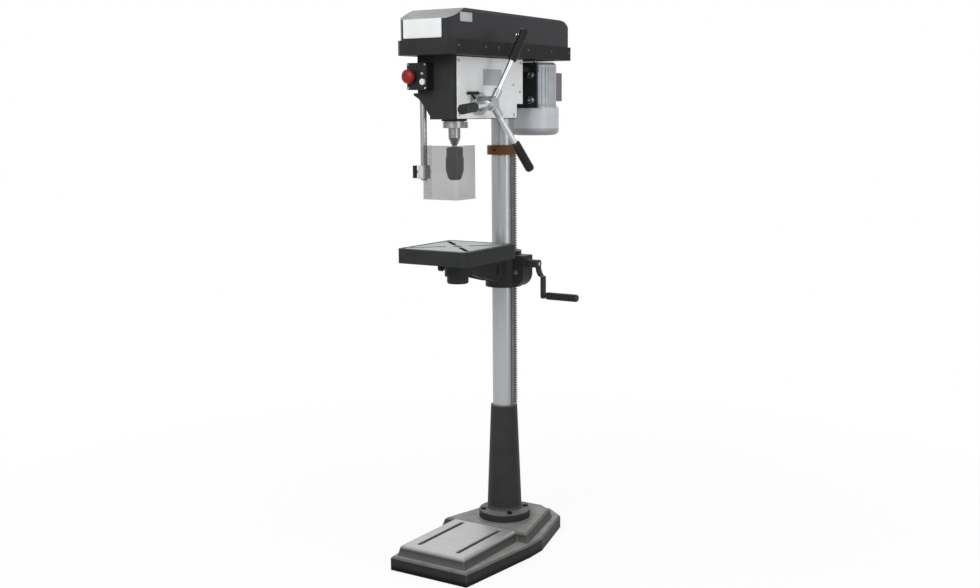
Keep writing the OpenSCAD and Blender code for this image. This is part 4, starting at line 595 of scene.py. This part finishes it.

# %% [markdown]
# The foot and the table are painted castings whose top was ground bare afterwards. The solid is one piece, so
# one material has to show both: a window in X and Y, at the height of the ground face, says where the bare
# metal is. Dust settles on the foot's steps. Its bottom edge is painted nearly black, a painted shade where it
# meets the floor, and its pale edges are partly a painted highlight.

# %% Painted castings with a ground top
PAD_WINDOW, PAD_LEVEL = (0.0, 0.1225, -0.2715, 0.1525), 0.078
TABLE_WINDOW, TABLE_LEVEL = (0.0, 0.109, -0.262, 0.127), 0.995
RISER_DUST = ((0.0435, 0.046, 0.076, 0.65, (0.14, 0.14, 0.135)),)
# The foot's bottom band is painted nearly black: a painted shade where it meets the floor.
FOOT_BOTTOM_SHADE = ((-0.001, 0.007, 0.020, 0.95, (0.001, 0.001, 0.001)),)
WINDOW_EDGE, COAT_DARK, COAT_LIGHT, COAT_ROUGH, COAT_SHINE = 0.0004, 0.86, 1.16, 0.48, 0.08
# The pale colour of worn edges: worn paint on the table, and on the foot also a painted highlight on its
# rounded edges.
COAT_DUST, COAT_WORN_AND_HIGHLIGHT = (0.35, 0.35, 0.34), (0.3, 0.3, 0.3)
GROUND_DARK, GROUND_SMUDGE, GROUND_SMUDGE_TONE, GROUND_FINE = 0.86, 0.3, 0.75, 36.0
GROUND_METALLIC, GROUND_ROUGH, GROUND_STRENGTH, GROUND_DEPTH = 0.75, 0.52, 0.25, 0.00005


def inside(tree, value, centre, half):
    distance = math_node(tree, "ABSOLUTE", math_node(tree, "SUBTRACT", value, centre))
    return range_node(tree, distance, half + WINDOW_EDGE, half - WINDOW_EDGE)


def ground_top(name, paint, ground, window, level, stretch, dust, edge=0.002, worn=0.16,
               fade=(0.0002, 0.0006), riser=(), bottom_shade=()):
    """Dark paint with one ground, bare face: window is (centre x, half x, centre y, half y) at height level.
    The bare metal reaches fade[0] below that height, and is gone at fade[1]."""
    material, tree, bsdf = new_finish(name)
    edges = use_group(tree, EDGES, Radius=edge)
    skin = use_group(tree, SKIN)
    dusty = use_group(tree, DUST, Amount=dust)
    marks = use_group(tree, MARKS, Stretch=stretch, Fine=GROUND_FINE)
    x, y, z = position_split(tree)
    mask = math_node(tree, "MULTIPLY", inside(tree, x, *window[:2]), inside(tree, y, *window[2:]))
    mask = math_node(tree, "MULTIPLY", mask, range_node(tree, z, level - fade[1], level - fade[0]))
    coat = lay_height_bands(tree, mottled(tree, skin["Blotch"], paint, COAT_DARK, COAT_LIGHT), riser)
    coat = mix_colour(tree, dusty["Mask"], coat, COAT_DUST)
    # Last come the pale edges and the painted shade along the bottom.
    coat = lay_height_bands(tree, lay_over(tree, coat, edges["Mask"], worn, COAT_WORN_AND_HIGHLIGHT), bottom_shade)
    metal = mottled(tree, marks["Shade"], ground, GROUND_DARK, 1.0)
    metal = lay_over(tree, metal, smudges(tree, marks), GROUND_SMUDGE, shade_of(ground, GROUND_SMUDGE_TONE))
    wire(tree, bsdf, Base_Color=mix_colour(tree, mask, coat, metal), Specular_IOR_Level=COAT_SHINE,
         Metallic=math_node(tree, "MULTIPLY", mask, GROUND_METALLIC),
         Roughness=range_node(tree, mask, 0.0, 1.0, COAT_ROUGH, GROUND_ROUGH),
         Normal=bump(tree, marks["Height"], edges["Normal"], GROUND_STRENGTH, GROUND_DEPTH))
    return material


# worn=0.40 paints the foot's edges pale: worn paint, and partly a painted highlight on its rounded edges.
FINISHES["base_paint"] = ground_top(
    "foot_paint_and_pad", (0.022, 0.022, 0.022), (0.40, 0.405, 0.40), PAD_WINDOW, PAD_LEVEL,
    stretch=(1.0, 26.0, 1.0), dust=0.85, edge=0.006, worn=0.40, fade=(0.001, 0.012),
    riser=RISER_DUST, bottom_shade=FOOT_BOTTOM_SHADE)
FINISHES["table_iron"] = ground_top(
    "table_paint_and_top", (0.024, 0.0255, 0.0255), (0.235, 0.25, 0.25), TABLE_WINDOW, TABLE_LEVEL,
    stretch=(26.0, 1.0, 1.0), dust=0.2)
print("ground tops: 2")

# %% [markdown]
# The shield is clear plastic that has gone hazy. Glass would bend what is behind it and turn dark in the thin
# folded sheet, so the sheet is a plain surface that is partly see-through, more so where it is looked at
# straight. Hands and chips touch the flap by the clamp less, so the haze is thinner there.

# %% Clear sheet
SHEET_PEEL, SHEET_BLOTCH, SHEET_DARK, SHEET_LIGHT = 60.0, 9.0, 0.9, 1.1
HAZE_UNEVEN, GRAZE_BLEND, GRAZE_HAZE, HAZE_ROUGH = 0.03, 0.35, 0.12, 0.08


def clear_sheet(name, tint, alpha, rough, flap):
    """flap is (x where the haze starts to thin, x where it is thin, the share that is left)."""
    thins, thin, left = flap
    material, tree, bsdf = new_finish(name)
    skin = use_group(tree, SKIN, Peel_Scale=SHEET_PEEL, Blotch_Scale=SHEET_BLOTCH)
    layer = add_node(tree, "ShaderNodeLayerWeight", Blend=GRAZE_BLEND)
    haze = over_noise(tree, skin["Blotch"], alpha - HAZE_UNEVEN, alpha + HAZE_UNEVEN)
    grazed = math_node(tree, "MULTIPLY", layer.outputs["Facing"], GRAZE_HAZE)
    haze = math_node(tree, "ADD", haze, grazed, clamp=True)
    share = range_node(tree, position_split(tree)[0], thins, thin, 1.0, left)
    haze = math_node(tree, "MULTIPLY", haze, share)
    wire(tree, bsdf, Base_Color=mottled(tree, skin["Blotch"], tint, SHEET_DARK, SHEET_LIGHT), Alpha=haze,
         Roughness=over_noise(tree, skin["Height"], rough, rough + HAZE_ROUGH))
    return material


FINISHES["clear_shield"] = clear_sheet("hazed_clear_sheet", (0.07, 0.0715, 0.0725), alpha=0.37, rough=0.16,
                                       flap=(-0.056, -0.060, 0.25))
print("shield finish:", FINISHES["clear_shield"].name)

# %% [markdown]
# Every solid names the slot of its material in the model's record. A piece that has a finish of its own takes
# that, and all others take the finish of their slot.

# %% Dress the solids
for part in frame["record"]["subparts"]:
    piece = nodes[part["node"]]
    finish = PIECE_FINISHES.get(part["node"], FINISHES[part["material_slot"]])
    if not piece.material_slots:
        piece.data.materials.append(finish)
    for place in piece.material_slots:
        place.material = finish
print("finishes:", len(FINISHES) + len(PIECE_FINISHES))

# %% [markdown]
# ## Screws and bolts
# Screws repeat all over the machine, so one geometry-node tree makes them. It takes points that know which
# way they face, puts a head with a hexagon socket on each, and hands back one plain mesh for each body.

# %% Geometry-node helpers
GEOMETRY, MATERIAL = "NodeSocketGeometry", "NodeSocketMaterial"


def growing_group(name, sizes):
    """A tree that takes points, sizes (label, default) and a finish, and gives geometry."""
    inputs = [("Geometry", GEOMETRY, None), *((label, FLOAT, value) for label, value in sizes),
              ("Finish", MATERIAL, None)]
    return node_group(name, "GeometryNodeTree", inputs, [("Geometry", GEOMETRY)])


def stored(tree, name):
    """Reads a direction that was stored on the points."""
    node = tree.nodes.new("GeometryNodeInputNamedAttribute")
    node.data_type = "FLOAT_VECTOR"
    node.inputs["Name"].default_value = name
    return node.outputs["Attribute"]


def aligned(tree, axis, **values):
    node = add_node(tree, "FunctionNodeAlignRotationToVector", **values)
    node.axis = axis
    return node


def spread_and_dress(tree, start, end, instance, **values):
    """Puts the instance on every point, makes the copies real and gives them the finish."""
    spread = add_node(tree, "GeometryNodeInstanceOnPoints", Points=start.outputs["Geometry"],
                      Instance=instance, **values)
    real = add_node(tree, "GeometryNodeRealizeInstances", Geometry=spread.outputs["Instances"])
    dress = add_node(tree, "GeometryNodeSetMaterial", Geometry=real.outputs["Geometry"],
                     Material=start.outputs["Finish"])
    wire(tree, end, Geometry=dress.outputs["Geometry"])


print("geometry-node helpers ready")

# %% [markdown]
# A screw is three cylinders: a washer, a head on it, and a six-sided one that is cut out of the head. The
# sizes are inputs of the tree, so the same tree gives heavy bolts and small rivets.

# %% Screw tree
HEAD_SIDES, SOCKET_SIDES, WASHER_SIDES = 20, 6, 24
SOCKET_SHARE, SOCKET_FLOOR = 0.55, 0.45


def drum(tree, sides, radius, height, foot):
    """A cylinder that stands on the height foot."""
    solid = add_node(tree, "GeometryNodeMeshCylinder", Vertices=sides, Radius=radius, Depth=height)
    middle = math_node(tree, "ADD", math_node(tree, "MULTIPLY", height, 0.5), foot)
    rise = add_node(tree, "ShaderNodeCombineXYZ", Z=middle)
    move = add_node(tree, "GeometryNodeTransform", Geometry=solid.outputs["Mesh"],
                    Translation=rise.outputs["Vector"])
    return move.outputs["Geometry"]


def screw_tree():
    tree, start, end = growing_group("socket_screws", [("Head Radius", 0.004), ("Head Height", 0.003),
                                                       ("Washer Radius", 0.005), ("Washer Height", 0.0008)])
    head_r, head_h = start.outputs["Head Radius"], start.outputs["Head Height"]
    washer_h = start.outputs["Washer Height"]
    head = drum(tree, HEAD_SIDES, head_r, head_h, washer_h)
    floor = math_node(tree, "ADD", washer_h, math_node(tree, "MULTIPLY", head_h, SOCKET_FLOOR))
    socket = drum(tree, SOCKET_SIDES, math_node(tree, "MULTIPLY", head_r, SOCKET_SHARE), head_h, floor)
    cut = tree.nodes.new("GeometryNodeMeshBoolean")
    cut.operation = "DIFFERENCE"
    tree.links.new(head, cut.inputs[0])
    tree.links.new(socket, cut.inputs[1])
    washer = drum(tree, WASHER_SIDES, start.outputs["Washer Radius"], washer_h, 0.0)
    both = tree.nodes.new("GeometryNodeJoinGeometry")
    tree.links.new(cut.outputs["Mesh"], both.inputs["Geometry"])
    tree.links.new(washer, both.inputs["Geometry"])
    turn = aligned(tree, "Z", Vector=stored(tree, "facing"))
    spread_and_dress(tree, start, end, both.outputs["Geometry"], Rotation=turn.outputs["Rotation"])
    return tree


SCREWS = screw_tree()
print("tree:", SCREWS.name, len(SCREWS.nodes), "nodes")

# %% [markdown]
# A tree runs as a modifier on a mesh of points. The result is kept as a plain mesh, because the export drops
# instances, and then it rides on the body that it is fixed to.

# %% From points to a piece


def store(points, name, vectors):
    attribute = points.data.attributes.new(name, "FLOAT_VECTOR", "POINT")
    for item, vector in zip(attribute.data, vectors):
        item.vector = vector


def point_object(name, places):
    """A mesh of points in mm, each with the way it faces."""
    mesh = bpy.data.meshes.new(name)
    mesh.from_pydata([tuple(c * MM for c in point) for point, _ in places], [], [])
    points = add_object(name, mesh)
    store(points, "facing", [way for _, way in places])
    return points


def mount(piece, body):
    """Lets a finished piece ride on a body."""
    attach(piece, body)
    print(piece.name, len(piece.data.polygons), "faces on", body)
    return piece


def grow(points, tree, values, name, body):
    """Runs a tree on the points and keeps the result as a plain mesh on a body."""
    modifier = points.modifiers.new("grow", "NODES")
    modifier.node_group = tree
    sockets = {item.name: item.identifier for item in tree.interface.items_tree if item.in_out == "INPUT"}
    for label, value in values.items():
        modifier[sockets[label]] = value
    view = bpy.context.evaluated_depsgraph_get()
    mesh = bpy.data.meshes.new_from_object(points.evaluated_get(view))
    mesh.name = name
    piece = add_object(name, mesh)
    points.modifiers.remove(modifier)
    bpy.data.objects.remove(points)
    return mount(piece, body)


print("growing helpers ready")

# %% [markdown]
# The motor's sliding plate carries four bolts with washers. Small screws hold the side panels, the switch
# plate, the lid of the terminal box and the shield's flap at its clamp, and a row of rivet heads runs along
# the belt tray.

# %% Screws on the machine
PANEL_X, SWITCH_X, SWITCH_Z, TRAY_X, TRAY_Z = 50, -59, 1501, 103, 1585
RIGHT_SCREWS = ((-320, 1390), (-320, 1546), (-17, 1479), (22, 1458), (-14, 1388), (28, 1546))
LEFT_SCREWS = ((-190, 1546), (-190, 1390), (-14, 1388), (28, 1458), (28, 1546))
MOTOR_BOLTS = [((x, 106, z), (0, -1, 0)) for x in (-41, 41) for z in (1433, 1513)]
PANEL_SCREWS = ([((PANEL_X, y, z), (1, 0, 0)) for y, z in RIGHT_SCREWS]
                + [((-PANEL_X, y, z), (-1, 0, 0)) for y, z in LEFT_SCREWS])
SWITCH_SCREWS = [((SWITCH_X + x, -378, SWITCH_Z + z), (0, -1, 0)) for x in (-30, 30) for z in (-34, 34)]
BOX_SCREWS = [((x, 305, z), (0, 1, 0)) for x in (-37, 37) for z in (1438, 1514)]
TRAY_RIVETS = [((side * TRAY_X, y, TRAY_Z), (side, 0, 0))
               for side in (-1, 1) for y in (-395, -255, -185, -15, 130, 240)]
CLAMP_SCREWS = [((-61, -324, z), (1, 0, 0)) for z in (1209, 1231)]
WASHER_LEAST, THIN_WASHER = 1.15, 0.4


def fasten(name, places, body, head, height, washer=0.0, washer_height=THIN_WASHER, finish="steel"):
    """Screws with a head of that radius and height in mm. Every washer is a little wider than its head."""
    values = {"Head Radius": head * MM, "Head Height": height * MM,
              "Washer Radius": max(washer, head * WASHER_LEAST) * MM,
              "Washer Height": washer_height * MM, "Finish": FINISHES[finish]}
    return grow(point_object(name, places), SCREWS, values, name, body)


fasten("motor_plate_bolts", MOTOR_BOLTS, "motor", 9.0, 7.0, washer=12.0, washer_height=2.0)
fasten("panel_screws", PANEL_SCREWS, "frame", 3.6, 2.2)
fasten("switch_plate_screws", SWITCH_SCREWS, "frame", 2.6, 1.4)
fasten("terminal_box_screws", BOX_SCREWS, "motor", 3.0, 1.8)
fasten("tray_rivets", TRAY_RIVETS, "frame", 2.6, 1.0, finish="dull_rivet")
fasten("guard_clamp_screws", CLAMP_SCREWS, "guard", 3.6, 2.0)

# %% [markdown]
# ## Drive belts
# Under the cover two cogged belts join the stepped pulleys, and the solids have plain loops for them. Here
# each belt is a wedge that fits the grooves, swept round its two pulleys. First its course: two arcs and two
# straight runs, cut into even steps so that every cog has the same number of rings.

# %% Course of a belt
COG_PITCH, COG_DEEP, RINGS_PER_COG = 6.0, 2.6, 4


def belt_course(y1, r1, y2, r2):
    """Points round two pulleys of radius r1 and r2, with the way that is outwards at each, in even steps."""
    lean = math.acos((r1 - r2) / (y2 - y1))
    run = math.sqrt((y2 - y1) ** 2 - (r1 - r2) ** 2)
    first, last = r1 * (math.tau - 2 * lean), r2 * 2 * lean
    total = first + last + 2 * run
    count = round(total / COG_PITCH) * RINGS_PER_COG
    course = []
    for k in range(count):
        along = total * k / count
        if along < first:
            turn, share = lean + along / r1, 0.0
        elif along < first + run:
            turn, share = -lean, (along - first) / run
        elif along < first + run + last:
            turn, share = -lean + (along - first - run) / r2, 1.0
        else:
            turn, share = lean, 1.0 - (along - first - run - last) / run
        out = Vector((math.sin(turn), math.cos(turn), 0))
        course.append((Vector((0, y1 + (y2 - y1) * share, 0)) + out * (r1 + (r2 - r1) * share), out))
    return course


print("belt course ready")

# %% [markdown]
# The inner face of a belt is notched so that it can bend. The arm of the middle pulley swings, so a belt
# can't ride on one body; here each belt is one fixed mesh, and the solid's plain loop is hidden.

# %% Belts
BELT_TOP, BELT_SIDE, BELT_FLOOR = (1.0, 5.0), (0.2, 6.2), (-6.7, 3.9)
SPINDLE_Y, IDLER_Y, MOTOR_Y = -272.0, -42.0, 200.0
LARGE_STEP, SMALL_STEP = 50.0, 40.0
FRONT_HEIGHT, REAR_HEIGHT = 1601.0, 1619.0


def built_object(name, build, finish):
    """Turns a bmesh into an object in the scene, with its faces pointing outwards."""
    bmesh.ops.recalc_face_normals(build, faces=build.faces)
    mesh = bpy.data.meshes.new(name)
    build.to_mesh(mesh)
    build.free()
    mesh.materials.append(finish)
    return add_object(name, mesh)


def cogged_belt(name, node, y1, r1, y2, r2, height, near_body, far_body):
    build = bmesh.new()
    slope = (BELT_SIDE[1] - BELT_FLOOR[1]) / (BELT_SIDE[0] - BELT_FLOOR[0])
    rings = []
    for k, (point, out) in enumerate(belt_course(y1, r1, y2, r2)):
        notch = COG_DEEP if k % RINGS_PER_COG < RINGS_PER_COG // 2 else 0.0
        half = (BELT_TOP, BELT_SIDE, (BELT_FLOOR[0] + notch, BELT_FLOOR[1] + slope * notch))
        section = half + tuple((depth, -side) for depth, side in reversed(half))
        rings.append([build.verts.new((point + out * depth + Vector((0, 0, height + side))) * MM)
                      for depth, side in section])
    for ring, after in zip(rings, rings[1:] + rings[:1]):
        for k in range(len(ring)):
            j = (k + 1) % len(ring)
            build.faces.new((ring[k], ring[j], after[j], after[k]))
    belt = built_object(name, build, FINISHES["belt_rubber"])
    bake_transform(belt)
    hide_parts(node)
    print(name, len(belt.data.polygons), "faces between", near_body, "and", far_body)
    return belt


cogged_belt("front_v_belt", "front_belt", SPINDLE_Y, LARGE_STEP, IDLER_Y, SMALL_STEP, FRONT_HEIGHT,
            "frame", "idler_arm")
cogged_belt("rear_v_belt", "rear_belt", IDLER_Y, LARGE_STEP, MOTOR_Y, SMALL_STEP, REAR_HEIGHT,
            "idler_arm", "frame")

# %% [markdown]
# ## Bare plates
# The real machine carries plates on its cover and its side panel. Here they are bare: thin sheets with
# rounded corners that keep the light patches of the picture. An image on the cover would need its own
# mapping. A thin prism laid on the surface below it does the same and has a real edge.

# %% Plates
PLATE_THICK, CORNER_STEPS, QUARTER = 0.6, 6, 90
CORNERS = ((1, 1), (-1, 1), (-1, -1), (1, -1))
PLATE_WHITE = painted("bare_plate_white", (0.65, 0.67, 0.67), rough=0.38, wear=0.1, dust=0.0, blotch=0.05)
PLATE_GREY = painted("bare_plate_grey", (0.42, 0.47, 0.48), rough=0.34, wear=0.1, dust=0.0)


def bare_plate(name, centre, across, size, radius, body, finish):
    """A thin upright plate with rounded corners: centre and size (width, height) in mm, across its width."""
    across, up = Vector(across), UPRIGHT
    half_w, half_h = size[0] / 2 - radius, size[1] / 2 - radius
    build = bmesh.new()
    rim = []
    for quarter, (side, end) in enumerate(CORNERS):
        for step in range(CORNER_STEPS + 1):
            turn = math.radians(QUARTER * (quarter + step / CORNER_STEPS))
            x, y = side * half_w + radius * math.cos(turn), end * half_h + radius * math.sin(turn)
            rim.append(build.verts.new((Vector(centre) + across * x + up * y) * MM))
    raised = bmesh.ops.extrude_face_region(build, geom=[build.faces.new(rim)])
    tops = [v for v in raised["geom"] if isinstance(v, bmesh.types.BMVert)]
    bmesh.ops.translate(build, verts=tops, vec=across.cross(up) * PLATE_THICK * MM)
    return mount(built_object(name, build, finish), body)


bare_plate("cover_front_plate", (-6, -421, 1634), (1, 0, 0), (134, 54), 3, "lid", PLATE_WHITE)
bare_plate("cover_side_plate", (95, -346, 1666), (0, 1, 0), (62, 26), 2, "lid", PLATE_GREY)
bare_plate("panel_plate", (50, -138, 1500), (0, 1, 0), (104, 48), 2, "frame", PLATE_GREY)

# %% [markdown]
# ## Scales
# The depth dial is a graduated ring, and the tilt face has a scale of degrees. A second node tree lays ticks
# along an arc: it stands a small bar on each point, turns it to run the way that the point says, and
# stretches it where the tick is a long one.

# %% Tick tree


def tick_tree():
    tree, start, end = growing_group("scale_ticks", [("Length", 0.004), ("Width", 0.0005),
                                                     ("Height", 0.0003)])
    size = add_node(tree, "ShaderNodeCombineXYZ", X=start.outputs["Width"], Y=start.outputs["Length"],
                    Z=start.outputs["Height"])
    bar = add_node(tree, "GeometryNodeMeshCube", Size=size.outputs["Vector"])
    stand = aligned(tree, "Z", Vector=stored(tree, "facing"))
    turn = aligned(tree, "Y", Rotation=stand.outputs["Rotation"], Vector=stored(tree, "along"))
    turn.pivot_axis = "Z"
    spread_and_dress(tree, start, end, bar.outputs["Mesh"], Rotation=turn.outputs["Rotation"],
                     Scale=stored(tree, "stretch"))
    return tree


TICKS = tick_tree()
print("tree:", TICKS.name, len(TICKS.nodes), "nodes")

# %% [markdown]
# The dial has sixty ticks round its rim, every fifth a long one. The tilt scale has a tick for each five
# degrees, and long ones at each fifteen. Both come from the angle of the tick, so they stay even.

# %% Ticks on the dial and on the tilt face
SHORT_TICK, TICK_HEIGHT = 0.6, 0.3
FEED_Y, FEED_Z, DIAL_R, DIAL_EDGE = -230.2, 1421.0, 33.0, 69.5
DIAL_COUNT, DIAL_LONG, DIAL_STEP, DIAL_TICK, DIAL_WIDTH = 60, 5, 6, 7.0, 0.6
TILT_R, TILT_Z, TILT_Y = 38.0, 905.0, -62.0
TILT_LIMIT, TILT_STEP, TILT_LONG, TILT_TICK, TILT_WIDTH = 45, 5, 15, 6.0, 0.8
INK = moulded("scale_ink", (0.02, 0.02, 0.02), grain_depth=0.00001, wear=0.0)
SCALE_WHITE = moulded("scale_white", (0.6, 0.6, 0.58), grain_depth=0.00001, wear=0.0)


def lay_ticks(name, ticks, along, length, width, finish, body):
    """Each tick is (point in mm, way it faces, its share of the length). All run the way along."""
    points = point_object(name, [(point, way) for point, way, _ in ticks])
    store(points, "along", [along] * len(ticks))
    store(points, "stretch", [(1, share, 1) for _, _, share in ticks])
    values = {"Length": length * MM, "Width": width * MM, "Height": TICK_HEIGHT * MM, "Finish": finish}
    return grow(points, TICKS, values, name, body)


def dial_tick(step):
    angle = math.radians(DIAL_STEP * step)
    way = (0, math.cos(angle), math.sin(angle))
    share = SHORT_TICK if step % DIAL_LONG else 1.0
    middle = DIAL_EDGE - DIAL_TICK / 2 * share
    return (middle, FEED_Y + DIAL_R * way[1], FEED_Z + DIAL_R * way[2]), way, share


def tilt_tick(degree):
    angle = math.radians(degree)
    way = (math.sin(angle), 0, math.cos(angle))
    share = SHORT_TICK if degree % TILT_LONG else 1.0
    return (TILT_R * way[0], TILT_Y, TILT_Z + TILT_R * way[2]), way, share


lay_ticks("depth_ticks", [dial_tick(step) for step in range(DIAL_COUNT)], (1, 0, 0), DIAL_TICK, DIAL_WIDTH,
          INK, "dial")
lay_ticks("tilt_ticks", [tilt_tick(degree) for degree in range(-TILT_LIMIT, TILT_LIMIT + 1, TILT_STEP)],
          (0, 1, 0), TILT_TICK, TILT_WIDTH, SCALE_WHITE, "bracket")

# %% [markdown]
# ## A knob for the cover and a lamp for the switch
# The hinged cover is lifted by a small turned knob on its right side, and a small lamp stands above the start
# button. The outline of each is a short profile, spun round its axis, which is how such pieces are really
# made.

# %% Cover knob and switch lamp
KNOB_PLACE, LAMP_PLACE = (95.0, -72.0, 1628.0), (-40.0, -378.0, 1509.0)
LAMP_PROFILE = ((0, 0), (5.5, 0), (5.5, 1.4), (4.4, 2.0), (4.2, 2.8), (2.8, 3.9), (0, 4.3))
KNOB_PROFILE = ((0, 0), (4.5, 0), (4.5, 1.2), (2.6, 2.4), (2.6, 5.5), (5.2, 7.5), (6.0, 9.5),
                (5.2, 11.6), (3.2, 12.8), (0, 13.2))
TURNED_SIDES = 32


def turned_piece(name, profile, place, axis, body, slot):
    """Spins a profile of (radius, height) in mm round an axis. A radius of 0 closes the piece in a point."""
    build = bmesh.new()
    angles = [math.tau * k / TURNED_SIDES for k in range(TURNED_SIDES)]
    rings = []
    for radius, height in profile:
        ring = [(radius * math.cos(a), radius * math.sin(a), height) for a in angles]
        rings.append([build.verts.new(point) for point in (ring if radius else ring[:1])])
    for low, high in zip(rings, rings[1:]):
        for k in range(TURNED_SIDES):
            around = ((low, k), (low, k + 1), (high, k + 1), (high, k))
            corners = [ring[j % len(ring)] for ring, j in around]
            build.faces.new(list(dict.fromkeys(corners)))
    turn = Vector(axis).to_track_quat("Z", "Y").to_matrix()
    for vert in build.verts:
        vert.co = (turn @ vert.co + Vector(place)) * MM
    piece = built_object(name, build, FINISHES[slot])
    for polygon in piece.data.polygons:
        polygon.use_smooth = True
    return mount(piece, body)


turned_piece("cover_knob", KNOB_PROFILE, KNOB_PLACE, (1, 0, 0), "lid", "bright")
turned_piece("switch_lamp", LAMP_PROFILE, LAMP_PLACE, (0, -1, 0), "frame", "alloy")
